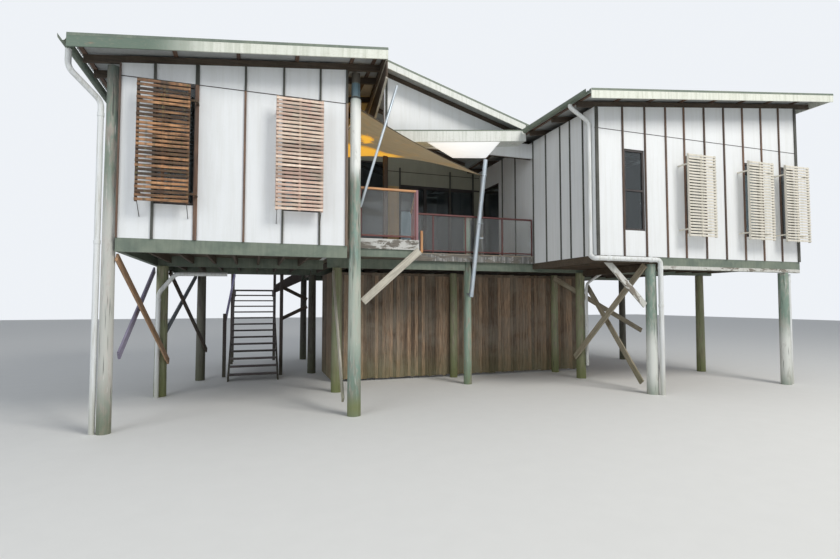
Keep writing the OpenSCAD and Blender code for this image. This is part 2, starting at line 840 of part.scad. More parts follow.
// Each run of pipe stops just short of the next
module downpipes() {
    lx = left_x - 160;
    gx = lr_x0 - 60;
    gz = lw_top(lr_x0) + roof_build - 104;
    wx = rw_x0 - 60;
    vx = right_x + 105;
    color("gainsboro") {
        rod([lx, 0, 0], [lx, 0, 5100], 90);
        rod([lx - 30, -30, 5175], [gx + 10, -335, 5460], 85);
        rod([gx, -345, 5520], [gx, -345, gz], 85);
        rod([wx, -10, 2995], [wx, -10, 5850], 90);
        rod([wx - 30, -10, 5905], [rr_x0 - 55, -10, rw_top(rr_x0) + 20], 90);
        rod([wx - 20, front_y - 60, 2930], [vx, front_y - 60, 2930], 105);
        rod([vx, front_y - 60, 0], [vx, front_y - 60, 2865], 105);
        rod([7350, 1500, 2790], [6985, 1960, 2785], 70);
        rod([6938, 2015, 2765], [6905, 2170, 2680], 70);
        rod([6870, 2215, 2640], [6730, 2270, 2535], 70);
        rod([6665, 2285, 350], [6665, 2285, 2450], 70);
        rod([-3600, 2915, 0], [-3600, 2915, 2180], 90);
        rod([-3570, 2915, 2240], [-3310, 2915, 2580], 90);
        rod([-3250, 2915, 2610], [-2250, 2915, 2620], 90);
        rod([far_x + 190, 0, 0], [far_x + 190, 0, 2700], 90);
    }
}

// Timber braces between the poles
module braces() {
    color("darkkhaki") {
        bar([6490, 0, 2830], [6420, 2480, 556], 40, 150);
        bar([6785, 2400, 2430], [6790, 490, 165], 40, 150);
        bar([5458, 0, 2910], [6472, 0, 1937], 40, 140);
        bar([6490, row3_y - 140, 2700], [9580, row3_y - 140, 1150], 40, 140);
        bar([182, 45, 2014], [1257, 45, 2976], 60, 140);
        bar([-3715, -40, 2704], [-3405, 3060, 745], 40, 140);
        bar([-3712, 3050, 2690], [-3730, 300, 1150], 40, 140);
        bar([-3425, 3150, 2666], [-2826, 5200, 770], 40, 140);
        bar([-3104, 5215, 2688], [-3500, 3260, 1360], 40, 140);
        bar([-20, 2300, 2680], [-157, 100, 265], 40, 140);
        bar([-930, row4_y, 2433], [-240, row4_y, 2085], 40, 100);
        bar([-930, row4_y, 1551], [-240, row4_y, 1887], 40, 100);
    }
}

// Outline along the verge, from a lower to an upper edge that may both slope, standing t thick
module verge_plate(t, foot0, foot1, top0, top1) {
    translate([-t, 8, 0])
        rotate([90, 0, 90])
            linear_extrude(height = t)
                polygon([[0, foot0], [2930, foot1], [2930, top1], [0, top0]]);
}

// Deep board below the left roof's flared verge, with a rail along its top and its foot
module verge_board() {
    color("sienna")
        translate([verge_x(roof_y0), roof_y0, 0])
            rotate([0, 0, -atan(verge_flare)]) {
                verge_plate(24, 5900, 5580, 6215, 6215);
                verge_plate(36, 5889, 5569, 5924, 5604);
                verge_plate(36, 6200, 6200, 6230, 6230);
            }
}

// Back stair: flight rising to the back from the carport
riser = 173;
going = 280;
step_n = 14;
stair_x0 = -2300;
stair_x1 = -1040;
stair_y0 = 4760;

land_y = stair_y0 + (step_n - 1) * going;
land_z = step_n * riser;
post_w = 90;

// Straight flight, a landing, then three steps to the side door
module stair_treads() {
    color("dimgray") {
        for (i = [1 : step_n])
            block([stair_x0 + 42, stair_y0 + (i - 1) * going, i * riser - 40],
                  [stair_x1 - 42, stair_y0 + (i - 1) * going + (i == step_n ? 898 : 250), i * riser]);
        for (i = [1 : 3])
            block([stair_x1 + 2 + (i - 1) * going, land_y + 44, land_z + i * riser - 40],
                  [stair_x1 + 2 + (i - 1) * going + (i == 3 ? 320 : 250), land_y + 856, land_z + i * riser]);
    }
}

module stair_frame() {
    run = land_y - stair_y0;
    color("dimgray") {
        for (x = [stair_x0, stair_x1 - 40])
            translate([x, 0, 0])
                rotate([90, 0, 90])
                    linear_extrude(height = 40)
                        polygon([
                            [stair_y0 - 60, 0], [stair_y0 + 240, 0], [land_y + 150, land_z - 220],
                            [land_y + 900, land_z - 220], [land_y + 900, land_z], [land_y - 20, land_z]
                        ]);
        for (y = [land_y + 2, land_y + 858])
            slab_xz(y, y + 40, [
                [stair_x1 + 2, land_z - 60], [stair_x1 + 120, land_z - 60],
                [stair_x1 + 880, land_z + 3 * riser - 220], [stair_x1 + 880, land_z + 3 * riser],
                [stair_x1 + 580, land_z + 3 * riser], [stair_x1 + 2, land_z + riser - 20]
            ]);
        for (y = [land_y + 100, land_y + 800])
            block([stair_x0 - 1 - post_w, y, 0], [stair_x0 - 1, y + post_w, land_z + 950]);
    }
    color("maroon") {
        block([stair_x0 - 75 - post_w, 5605, 0], [stair_x0 - 75, 5695, 1700]);
        block([stair_x1 + 45, 5555, 0], [stair_x1 + 45 + post_w, 5645, beam_z - 2]);
        block([stair_x1 + 2, land_y + 910, 0], [stair_x1 + 2 + post_w, land_y + 1000, land_z + 950]);
    }
}

module stair_rail() {
    x = stair_x0 - 120;
    color("slateblue") {
        bar([x, 5740, 1430], [stair_x0 + 22, land_y + 100, 2930], 40, 150);
        bar([x, land_y + 100, 3290], [x, land_y + 900, 3290], 40, 150);
    }
}

// Paling screen behind the deck, with a return along the carport
module paling_screen() {
    color("saddlebrown") {
        block([200, 3800, 40], [7450, 3825, 2780]);
        block([175, 3800, 40], [199, 5600, 2780]);
    }
}

module mast() {
    y = deck_y - 110;
    color("lightsteelblue") {
        rod([3300, y, 2130], [3710, y, 5530], 110);
        block([3270, y + 30, 2180], [3345, mid_y - 104, 2230]);
        block([3380, y + 40, 3070], [3460, deck_y - gap, 3110]);
        block([3440, y - 20, 3560], [3640, y + 20, 3590]);
    }
}

// Thin prop leaning out beside the front pole
module thin_pole() {
    color("gainsboro")
        rod([130, 62, 3740], [818, 62, 6088], 50);
}

// Shade sail: a thin closed sheet. Each edge is hollow by a share of the way to the middle, and may rise
module sail(corners, hollows, rises, lift) {
    n = len(corners);
    m = 6;
    mid = [for (k = [0 : 2]) (corners[0][k] + corners[1][k] + corners[2][k]) / 3];
    rim = [for (i = [0 : n - 1]) for (j = [0 : m - 1])
        let (a = corners[i], b = corners[(i + 1) % n], t = j / m, p = a + (b - a) * t, bow = 4 * t * (1 - t))
        p + (mid - p) * hollows[i] * bow + [0, 0, rises[i] * bow]];
    hub = mid + [0, 0, lift];
    q = n * m;
    up = [0, 0, 8];
    polyhedron(
        points = concat(rim, [hub], [for (p = rim) p + up], [hub + up]),
        faces = concat(
            [for (i = [0 : q - 1]) [i, (i + 1) % q, q]],
            [for (i = [0 : q - 1]) [q + 1 + (i + 1) % q, q + 1 + i, 2 * q + 1]],
            [for (i = [0 : q - 1]) [(i + 1) % q, i, q + 1 + i]],
            [for (i = [0 : q - 1]) [(i + 1) % q, q + 1 + i, q + 1 + (i + 1) % q]]
        )
    );
}

module tan_sail() {
    color("tan")
        sail([[145, 130, 5570], [3597, 2200, 5120], [-118, 3600, 5565]], [0.13, 0.3, 0.05], [0, 170, 0], -10);
}

module white_sail() {
    t = [0, 0, -8];
    a = [2070, 1900, 5704];
    b = [2860, 2290, 5525];
    c = [3750, 2290, 5600];
    d = [3944, 1900, 5910];
    color("white")
        polyhedron(
            points = [a, b, c, d, a + t, b + t, c + t, d + t],
            faces = [
                [0, 2, 1], [0, 3, 2], [4, 5, 6], [4, 6, 7],
                [0, 1, 5], [0, 5, 4], [1, 2, 6], [1, 6, 5], [2, 3, 7], [2, 7, 6], [3, 0, 4], [3, 4, 7]
            ]
        );
}

front_poles();
carport_poles();
back_poles();
left_wing_beams();
deck_beams();
right_wing_beams();
floor_joists();
left_wing_floor();
deck_floor();
right_wing_floor();
main_floor();
left_front_wall();
left_side_wall();
left_inner_wall();
left_back_wall();
right_front_wall();
right_inner_wall();
right_side_wall();
right_back_wall();
door_wall();
main_back_wall();
main_side_wall();
gable_wall();
clerestory_wall();
gable_post();
window_frames();
window_glass();
door_frames();
door_glass();
left_screen();
right_screen();
white_screens();
left_roof();
right_roof();
main_roof();
link_roof();
wing_rafters();
main_rafters();
wing_fascias();
main_fascia();
porch_hood();
deck_fascia();
walkway_rail();
deck_rail();
rail_glass();
gutters();
downpipes();
braces();
verge_board();
stair_frame();
stair_rail();
stair_treads();
paling_screen();
mast();
thin_pole();
tan_sail();
white_sail();
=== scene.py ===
"""Stilt house: two sheeted wings on tall round poles, either side of a roofed deck.

Every new piece is a surface worked out with numpy from two parameters, or a
profile carried along a path. Metres, X to the right, Y to the back, Z up.
"""
import math

import bmesh
import bpy
import numpy as np
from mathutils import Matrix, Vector


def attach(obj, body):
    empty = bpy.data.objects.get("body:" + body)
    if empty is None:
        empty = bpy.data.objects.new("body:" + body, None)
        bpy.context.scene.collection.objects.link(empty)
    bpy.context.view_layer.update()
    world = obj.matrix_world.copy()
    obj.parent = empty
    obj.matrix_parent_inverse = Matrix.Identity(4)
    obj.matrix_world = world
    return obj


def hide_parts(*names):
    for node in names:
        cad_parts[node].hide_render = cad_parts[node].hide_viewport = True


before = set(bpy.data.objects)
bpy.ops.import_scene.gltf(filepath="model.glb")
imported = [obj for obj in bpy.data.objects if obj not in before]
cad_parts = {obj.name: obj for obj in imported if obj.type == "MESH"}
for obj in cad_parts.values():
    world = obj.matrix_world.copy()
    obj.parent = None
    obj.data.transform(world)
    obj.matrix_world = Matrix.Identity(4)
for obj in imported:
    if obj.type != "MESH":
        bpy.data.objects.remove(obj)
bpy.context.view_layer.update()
rng = np.random.default_rng(41)

# ------------------------------------------------------------ the house's own measures
# Heights: wing floors, pole tops under the beams, deck boards, window heads, handrails.
FLOOR, BEAM, DECK, HEAD, RAIL = 3.0, 2.785, 3.18, 5.54, 4.14
# Outer faces of the walls: the left wing, the right wing, both fronts, the deck's back wall.
LEFT_X0, LEFT_X1, LEFT_BACK = -3.73, -0.14, 5.88
RIGHT_X0, RIGHT_X1, BACK = 5.12, 11.16, 9.48
FRONT, DOOR_WALL = -0.12, 5.5
# Deck: its front edge, and the walkway beside the left wing that widens towards it.
DECK_FRONT, DECK_LEFT = 2.33, 1.84
STRIP_FRONT, STRIP_END = 0.09, 1.27
# Roofs: front edge, overhang behind, slopes, the gable's high wall, what is built on the walls.
ROOF_FRONT, OVERHANG = FRONT - 0.5, 0.4
WING_RUN = math.tan(math.radians(6.7))
MAIN_RUN = math.tan(math.radians(16.6))
CLERE_X, CLERE_TOP = 1.16, 7.318
RAFTER, BUILD, SHEET = 0.12, 0.16, 0.02
# The left roof's right verge flares out by this much for each metre back, as far as FLARE_END.
FLARE, FLARE_END = 0.0985, 2.3
# Directions: along the front, towards the back and up; and out of each side of the house.
ALONG_X, ALONG_Y, UP = (1, 0, 0), (0, 1, 0), (0, 0, 1)
TO_LEFT, TO_RIGHT, TO_FRONT, TO_BACK = (-1, 0, 0), (1, 0, 0), (0, -1, 0), (0, 1, 0)


# Height of each slope at x: the tops of the wings' walls, of the middle part's walls and of
# the hood over the porch. The roofs are built on the first three.
def left_top(x):
    return FLOOR + 2.748 + (x - LEFT_X0) * WING_RUN


def right_top(x):
    return FLOOR + 3.165 + (x - RIGHT_X0) * WING_RUN


def main_top(x):
    return CLERE_TOP - (x - CLERE_X) * MAIN_RUN


def hood_top(x):
    return 5.9 + (x - 1.25) * 0.11


def verge_x(y):
    """Outer face of the left roof's right verge, which flares out towards the deck."""
    return LEFT_X1 + 0.60 + (y - ROOF_FRONT + 0.025) * FLARE


# ------------------------------------------------------------ surfaces
def grid_faces(rows, cols, closed=True):
    """Quads between neighbouring rows of a grid, the last column joined to the first if closed."""
    r = np.arange(rows - 1)[:, None]
    c = np.arange(cols if closed else cols - 1)[None, :]
    a = r * cols + c
    b = r * cols + (c + 1) % cols
    return np.stack([a, b, b + cols, a + cols], -1).reshape(-1, 4)


def tube_faces(rows, cols):
    """Quads of a grid whose columns close, with one face over each end."""
    ends = [list(range(cols))[::-1], list(range((rows - 1) * cols, rows * cols))]
    return grid_faces(rows, cols).tolist() + ends


def shape(points, faces, uv, tone=0.5):
    """What piece() joins: points, faces, the grain map and one tone for all the points."""
    points = points.reshape(-1, 3)
    return points, faces, uv.reshape(-1, 2), np.full(len(points), tone)


def unit(v):
    """Vector of length 1 in the direction of v."""
    v = np.asarray(v, float)
    return v / np.linalg.norm(v)


def distance_along(line):
    """Length from a line's first point to each of its points."""
    return np.concatenate([[0], np.cumsum(np.linalg.norm(np.diff(line, axis=0), axis=1))])


def carried(profile, path, side, scale=None, tone=0.5, shift=0.0):
    """Profile (k, 2) carried along path (n, 3): point = path + x * side axis + y * cross axis.
    The side axis is side made square to the path at each station."""
    profile, path = np.asarray(profile, float), np.asarray(path, float)
    n, k = len(path), len(profile)
    run = np.gradient(path, axis=0)
    run /= np.linalg.norm(run, axis=1)[:, None]
    side = np.broadcast_to(np.asarray(side, float), path.shape)
    across = side - (side * run).sum(1)[:, None] * run
    across /= np.linalg.norm(across, axis=1)[:, None]
    up = np.cross(run, across)
    size = np.ones(n) if scale is None else np.asarray(scale, float)
    points = path[:, None] + size[:, None, None] * (
        profile[None, :, :1] * across[:, None] + profile[None, :, 1:] * up[:, None])
    uv = np.stack(np.broadcast_arrays(distance_along(path)[:, None] + shift,
                                      distance_along(profile)[None] + shift * 0.37), -1)
    return shape(points, tube_faces(n, k), uv, tone)


def rounded(width, depth, chamfer):
    """Rectangle with its corners cut at 45 degrees, anticlockwise."""
    w, d, c = width / 2, depth / 2, min(chamfer, width / 3, depth / 3)
    return [(w, -d + c), (w, d - c), (w - c, d), (-w + c, d),
            (-w, d - c), (-w, -d + c), (-w + c, -d), (w - c, -d)]


def board(start, end, width, depth, side, chamfer=0.004, bow=0.0, stations=2, tone=None):
    """Chamfered rectangle along a straight line whose middle is bowed by a half sine wave."""
    start, end = np.asarray(start, float), np.asarray(end, float)
    t = np.linspace(0, 1, stations)[:, None]
    path = start + (end - start) * t
    if bow:
        path = path + np.sin(np.pi * t) * bow * np.cross(unit(end - start), unit(side))
    tone = rng.random() if tone is None else tone
    return carried(rounded(width, depth, chamfer), path, side, tone=tone, shift=rng.random() * 7)


def ring(sides):
    """Corners of a regular polygon of radius 1."""
    a = np.arange(sides) * 2 * np.pi / sides
    return np.stack([np.cos(a), np.sin(a)], -1)


def tube(path, radius, sides=16):
    """Circle carried along a path, its radius one number or one for each station."""
    path = np.asarray(path, float)
    d = path[-1] - path[0]
    side = ALONG_Y if abs(d[1]) < 0.8 * np.linalg.norm(d) else UP
    size = np.broadcast_to(np.asarray(radius, float), (len(path),))
    return carried(ring(sides), path, side, scale=size, shift=rng.random() * 3)


def bent(points, radius):
    """Line of straight parts whose corners become quadratic curves, from radius before the
    corner to radius after it, or from nearly half way along a shorter part."""
    points = np.asarray(points, float)
    t = np.linspace(0, 1, 7)[:, None]
    out = [points[0][None]]
    for before, corner, after in zip(points[:-2], points[1:-1], points[2:]):
        a, b = (corner + unit(end - corner) * min(radius, np.linalg.norm(end - corner) * 0.48)
                for end in (before, after))
        out.append((1 - t) ** 2 * a + 2 * t * (1 - t) * corner + t ** 2 * b)
    return np.concatenate(out + [points[-1][None]])


def turned(centre, axis, outline, sides):
    """Outline of (radius, height) pairs turned about an axis through centre."""
    axis = unit(axis)
    side = unit(np.cross(axis, (0.3, 0.5, 0.81)))
    up = np.cross(axis, side)
    outline, circle = np.asarray(outline, float), ring(sides)
    flat = circle[:, :1] * side + circle[:, 1:] * up
    points = (np.asarray(centre, float) + outline[:, :1, None] * flat[None]
              + outline[:, 1:, None] * axis)
    uv = np.stack(np.broadcast_arrays(outline[:, 1:2], np.arange(sides)[None] * 0.01), -1)
    return shape(points, tube_faces(len(outline), sides), uv)


def ruled(low, high, thickness):
    """Closed sheet between two edge curves (n, 3), given its thickness by one vector."""
    low, high = np.asarray(low, float), np.asarray(high, float)
    off = np.asarray(thickness, float)
    loop = np.stack([low, high, high + off, low + off], 1)
    uv = np.zeros((len(low), 4, 2))
    uv[:, :, 0] = distance_along(low)[:, None]
    uv[:, 1:3, 1] = np.linalg.norm(high - low, axis=1)[:, None]
    return shape(loop, tube_faces(len(low), 4), uv)


def piece(name, shapes, look, replaces=(), smooth=35):
    """One object from many shapes, with a grain UV map and a tone value for each shape. look
    names its material in MAT."""
    points, faces, uvs, tones, start = [], [], [], [], 0
    for p, f, uv, tone in shapes:
        points.append(p)
        faces += [[i + start for i in face] for face in f]
        uvs.append(uv)
        tones.append(tone)
        start += len(p)
    mesh = bpy.data.meshes.new(name)
    mesh.from_pydata(np.concatenate(points).tolist(), [], faces)
    corner = np.zeros(len(mesh.loops), np.int32)
    mesh.loops.foreach_get("vertex_index", corner)
    layer = mesh.uv_layers.new(name="grain")
    layer.data.foreach_set("uv", np.concatenate(uvs)[corner].astype(np.float32).ravel())
    tone_layer = mesh.attributes.new("tone", "FLOAT", "POINT")
    tone_layer.data.foreach_set("value", np.concatenate(tones).astype(np.float32))
    mesh.polygons.foreach_set("use_smooth", np.ones(len(mesh.polygons), bool))
    mesh.update()
    mesh.set_sharp_from_angle(angle=math.radians(smooth))
    obj = bpy.data.objects.new(name, mesh)
    bpy.context.scene.collection.objects.link(obj)
    mesh.materials.append(MAT[look])
    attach(obj, "root")
    if replaces:
        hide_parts(*replaces)
    return obj


# ------------------------------------------------------------ shader groups
class Wires:
    """Short calls that add and join the nodes of one tree."""

    def __init__(self, tree):
        self.tree = tree

    def feed(self, value, socket):
        """Joins a socket or a node's first output, or sets a value; colours get alpha 1."""
        if isinstance(value, bpy.types.Node):
            value = value.outputs[0]
        if isinstance(value, bpy.types.NodeSocket):
            self.tree.links.new(value, socket)
        else:
            socket.default_value = (*value, 1) if socket.type == "RGBA" else value

    def give(self, sockets, **values):
        """Feeds sockets by name, with _ for each space."""
        for label, value in values.items():
            self.feed(value, sockets[label.replace("_", " ")])

    def node(self, kind, values=None, **settings):
        """Adds a node; values go to its inputs and settings to the node itself."""
        n = self.tree.nodes.new(kind)
        for key, value in settings.items():
            setattr(n, key, value)
        for key, value in (values or {}).items():
            self.feed(value, n.inputs[key])
        return n

    def placed(self, tree, **values):
        """A group with its own values; gives its outputs."""
        n = self.node("ShaderNodeGroup", node_tree=tree)
        self.give(n.inputs, **values)
        return n.outputs

    def math(self, operation, a, b=0.0, clamp=False):
        n = self.node("ShaderNodeMath", {0: a, 1: b}, operation=operation, use_clamp=clamp)
        return n.outputs[0]

    def times(self, a, b, clamp=False):
        return self.math("MULTIPLY", a, b, clamp)

    def plus(self, a, b):
        return self.math("ADD", a, b)

    def mix(self, share, a, b, blend="MIX"):
        values = {0: share, 6: a, 7: b}
        return self.node("ShaderNodeMix", values, data_type="RGBA", blend_type=blend).outputs[2]

    def darker(self, colour, share):
        """The colour times one number."""
        return self.mix(1.0, colour, (share, share, share), "MULTIPLY")

    def blend(self, share, a, b):
        """mix() for two numbers."""
        return self.node("ShaderNodeMix", {0: share, 2: a, 3: b}, data_type="FLOAT").outputs[0]

    def ramp(self, value, low, high, out_low=0.0, out_high=1.0):
        """Smooth step from out_low, where value is low, to out_high, where it is high."""
        values = {0: value, 1: low, 2: high, 3: out_low, 4: out_high}
        return self.node("ShaderNodeMapRange", values, interpolation_type="SMOOTHSTEP").outputs[0]

    def noise(self, vector, scale, detail=4.0, rough=0.6, distortion=0.0):
        values = {"Vector": vector, "Scale": scale, "Detail": detail, "Roughness": rough,
                  "Distortion": distortion}
        return self.node("ShaderNodeTexNoise", values).outputs["Fac"]

    def vector(self, operation, a, b, output=0):
        return self.node("ShaderNodeVectorMath", {0: a, 1: b}, operation=operation).outputs[output]

    def scaled(self, vector, scale):
        return self.vector("MULTIPLY", vector, scale)

    def parts(self, vector):
        return self.node("ShaderNodeSeparateXYZ", {0: vector}).outputs


ORIGIN, BLACK, WHITE = (0, 0, 0), (0, 0, 0, 1), (1, 1, 1, 1)


def group(name, outputs, **inputs):
    """Shader node group with named sockets; gives it, its wires, its inputs and its outputs.
    A default of one number makes a value socket, of three a vector and of four a colour."""
    tree = bpy.data.node_groups.new(name, "ShaderNodeTree")
    for label, default in inputs.items():
        kind = {1: "NodeSocketFloat", 3: "NodeSocketVector", 4: "NodeSocketColor"}[np.size(default)]
        label = label.replace("_", " ")
        socket = tree.interface.new_socket(label, in_out="INPUT", socket_type=kind)
        socket.default_value = default
    for label in outputs:
        kind = "NodeSocketColor" if label == "Colour" else "NodeSocketFloat"
        tree.interface.new_socket(label, in_out="OUTPUT", socket_type=kind)
    given = tree.nodes.new("NodeGroupInput").outputs
    return tree, Wires(tree), given, tree.nodes.new("NodeGroupOutput").inputs


def make_grain_group():
    """Streaks along the first axis, from dark to light: noise on a vector squeezed across the
    grain and moved by the board's tone, with fine fibres on top."""
    tree, w, given, out = group("timber_grain", ("Colour", "Fibres", "Height"), Vector=ORIGIN,
                                Stretch=(1, 20, 20), Tone=0.5, Dark=BLACK, Light=WHITE)
    shift = w.node("ShaderNodeCombineXYZ", {0: w.times(given["Tone"], 9.0),
                                            1: w.times(given["Tone"], 5.0)})
    v = w.scaled(w.vector("ADD", given["Vector"], shift), given["Stretch"])
    streaks = w.noise(v, 2.2, 5.0, 0.62, 0.4)
    fibres = w.noise(w.scaled(v, (1.0, 6.0, 6.0)), 3.0, 3.0, 0.7)
    w.give(out, Colour=w.mix(w.ramp(streaks, 0.3, 0.7), given["Dark"], given["Light"]),
           Fibres=fibres, Height=w.plus(w.times(streaks, 0.6), w.times(fibres, 0.4)))
    return tree


def make_weather_group():
    """Blotches, run-down streaks, specks and dirt near the ground, from Object coordinates."""
    tree, w, given, out = group("weathering", ("Blotches", "Runs", "Specks", "Ground"),
                                Vector=ORIGIN, Scale=1.0)
    v, s = given["Vector"], given["Scale"]
    big = w.noise(v, w.times(s, 1.7), 5.0, 0.62, 0.6)
    runs = w.noise(w.scaled(v, (9.0, 9.0, 0.55)), w.times(s, 1.5), 4.0, 0.6, 0.3)
    specks = w.noise(v, w.times(s, 34.0), 3.0, 0.7)
    height = w.plus(w.parts(v)[2], w.times(big, -0.5))
    w.give(out, Blotches=w.ramp(big, 0.36, 0.66), Runs=w.ramp(runs, 0.42, 0.68),
           Specks=w.ramp(specks, 0.52, 0.72), Ground=w.ramp(height, 0.75, -0.25))
    return tree


def make_ageing_group():
    """Timber as it ages: boards differ in tone, grey comes in blotches and runs, moss in
    specked runs and near the ground, dirt in the fibres."""
    tree, w, given, out = group(
        "aged_timber", ("Colour",), Colour=BLACK, Fibres=0.5, Tone=0.5, Spread=0.5, Blotches=0.0,
        Runs=0.0, Specks=0.0, Ground=0.0, Grey=WHITE, Grey_share=0.0, Moss=BLACK, Moss_share=0.0,
        Ground_share=0.0, Fibre_share=0.35)
    shade = w.ramp(given["Tone"], 0.0, 1.0, w.math("SUBTRACT", 1.0, given["Spread"]),
                   w.plus(w.times(given["Spread"], 0.6), 1.0))
    tint = w.node("ShaderNodeCombineColor", {0: shade, 1: shade, 2: shade})
    colour = w.mix(1.0, given["Colour"], tint, "MULTIPLY")
    grey = w.plus(w.times(given["Blotches"], 0.6), w.times(given["Runs"], 0.4))
    colour = w.mix(w.times(grey, given["Grey share"], True), colour, given["Grey"])
    moss = w.times(w.times(given["Runs"], given["Specks"]), given["Moss share"], True)
    colour = w.mix(moss, colour, given["Moss"])
    colour = w.mix(w.times(given["Ground"], given["Ground share"]), colour, given["Moss"])
    dirt = w.times(given["Fibres"], given["Fibre share"])
    w.give(out, Colour=w.mix(dirt, colour, (0.02, 0.015, 0.01)))
    return tree


def make_stain_group():
    """Paint that one mask stains and another wears to a darker shade of itself."""
    tree, w, given, out = group(
        "stained_paint", ("Colour",), Paint=WHITE, Stain=BLACK, Stain_mask=0.0, Stain_share=0.3,
        Wear_mask=0.0, Wear_share=0.15, Worn=0.8)
    worn = w.node("ShaderNodeCombineColor", {i: given["Worn"] for i in range(3)})
    worn_paint = w.mix(1.0, given["Paint"], worn, "MULTIPLY")
    stain = w.times(given["Stain mask"], given["Stain share"])
    wear = w.times(given["Wear mask"], given["Wear share"])
    w.give(out, Colour=w.mix(wear, w.mix(stain, given["Paint"], given["Stain"]), worn_paint))
    return tree


def make_flake_group():
    """Old paint: a noise threshold parts paint from what is under it, the paint's edge stands
    up, and cracks show the wood between its cells."""
    tree, w, given, out = group(
        "flaking_paint", ("Colour", "Bare", "Height"), Vector=ORIGIN, Scale=6.0, Bare=0.3,
        Paint=WHITE, Wood=BLACK, Under=BLACK, Crack_share=0.25, Cover=1.0)
    v, scale = given["Vector"], given["Scale"]
    patch = w.noise(v, scale, 7.0, 0.68, 0.5)
    edge = w.math("SUBTRACT", w.blend(given["Bare"], 0.27, 0.66), patch)
    bare = w.ramp(edge, -0.012, 0.018)
    cells = w.node("ShaderNodeTexVoronoi", {"Vector": w.scaled(v, (1.0, 3.0, 3.0)),
                                            "Scale": w.times(scale, 5.0)},
                   feature="DISTANCE_TO_EDGE").outputs["Distance"]
    cracks = w.times(w.ramp(cells, 0.05, 0.0), given["Crack share"])
    paint = w.mix(cracks, given["Paint"], given["Wood"])
    w.give(out, Colour=w.mix(w.times(bare, given["Cover"]), paint, given["Under"]), Bare=bare,
           Height=w.math("SUBTRACT", 1.0, bare))
    return tree


def make_second_paint_group():
    """Second paint that is full at one place along X and ends at another."""
    tree, w, given, out = group(
        "second_paint", ("Colour", "Bare"), Vector=ORIGIN, Full=0.0, End=1.0, Colour=WHITE,
        Second=BLACK, Bare=0.3, Second_bare=0.5)
    share = w.ramp(w.parts(given["Vector"])[0], given["Full"], given["End"], 1.0, 0.0)
    w.give(out, Colour=w.mix(share, given["Colour"], given["Second"]),
           Bare=w.blend(share, given["Bare"], given["Second bare"]))
    return tree


def make_sheet_group():
    """Wall sheet's paint: specks of the stain, and dimples under soft blotches."""
    tree, w, given, out = group("specked_sheet", ("Colour", "Height"), Vector=ORIGIN,
                                Colour=WHITE, Stain=BLACK, Specks=0.0, Share=0.05, Blotches=0.0)
    dimples = w.noise(given["Vector"], 160.0, 3.0, 0.6)
    w.give(out, Colour=w.mix(w.times(given["Specks"], given["Share"]), given["Colour"],
                             given["Stain"]),
           Height=w.plus(dimples, w.times(given["Blotches"], 2.0)))
    return tree


def make_log_group():
    """Round pole's skin: greenish preservative wash in patches over streaked grey wood, pale
    runs, moss in runs and near the ground."""
    tree, w, given, out = group(
        "washed_log", ("Colour", "Streaks", "Patches"), Vector=ORIGIN, Runs=0.0, Ground=0.0,
        Wood=BLACK, Wash=BLACK, Moss=BLACK, Pale=WHITE, Wash_share=0.8, Moss_share=0.5,
        Pale_share=0.5)
    v = given["Vector"]
    streaks = w.noise(w.scaled(v, (14.0, 14.0, 0.9)), 1.6, 5.0, 0.65, 0.5)
    patches = w.noise(w.scaled(v, (4.0, 4.0, 1.2)), 2.4, 5.0, 0.6, 0.8)
    colour = w.mix(w.ramp(streaks, 0.35, 0.65), given["Wood"], w.darker(given["Wood"], 0.62))
    wash = w.times(w.ramp(patches, 0.36, 0.56), given["Wash share"])
    colour = w.mix(wash, colour, given["Wash"])
    pale = w.times(w.ramp(streaks, 0.60, 0.70), given["Pale share"])
    colour = w.mix(pale, colour, given["Pale"])
    half_moss = w.times(given["Moss share"], 0.5)
    colour = w.mix(w.times(given["Runs"], half_moss), colour, given["Moss"])
    colour = w.mix(w.times(given["Ground"], given["Moss share"]), colour, given["Moss"])
    w.give(out, Colour=colour, Streaks=streaks, Patches=patches)
    return tree


def make_band_group():
    """Band of another colour between two heights, its ends faded over a soft length and its
    middle broken by the pole's patches. The poles use it for paint, and also for painted
    shade and painted sunlight."""
    tree, w, given, out = group(
        "pole_band", ("Colour",), Vector=ORIGIN, Colour=WHITE, Tint=BLACK, Low=0.0, High=1.0,
        Soft=0.1, Share=1.0, Patches=0.5)
    level, low, high, soft = w.parts(given["Vector"])[2], given["Low"], given["High"], given["Soft"]
    above = w.ramp(level, w.math("SUBTRACT", low, soft), w.plus(low, soft))
    below = w.ramp(level, w.plus(high, soft), w.math("SUBTRACT", high, soft))
    broken = w.ramp(given["Patches"], 0.30, 0.45, w.times(given["Share"], 0.6), given["Share"])
    inside = w.times(w.times(above, below), broken)
    w.give(out, Colour=w.mix(inside, given["Colour"], given["Tint"]))
    return tree


def make_check_group():
    """Drying checks in a round pole: dark upright cracks where squeezed noise is high."""
    tree, w, given, out = group("drying_checks", ("Colour", "Height"), Vector=ORIGIN,
                                Colour=WHITE, Streaks=0.5)
    checks = w.noise(w.scaled(given["Vector"], (34.0, 34.0, 1.1)), 1.2, 2.0, 0.5)
    checks = w.ramp(checks, 0.64, 0.70)
    w.give(out, Colour=w.mix(w.times(checks, 0.75), given["Colour"], (0.03, 0.03, 0.025)),
           Height=w.math("SUBTRACT", w.times(given["Streaks"], 0.6), w.times(checks, 0.8)))
    return tree


def make_dust_group():
    """Faint dust on a pane, which pales its tint and dulls its gloss."""
    tree, w, given, out = group("pane_dust", ("Colour", "Roughness"), Vector=ORIGIN, Tint=WHITE)
    dust = w.noise(given["Vector"], 3.0, 5.0, 0.6)
    pale = w.mix(w.ramp(dust, 0.3, 0.8, 0.0, 0.08), given["Tint"], (0.75, 0.78, 0.76))
    w.give(out, Colour=pale, Roughness=w.ramp(dust, 0.3, 0.9, 0.0, 0.06))
    return tree


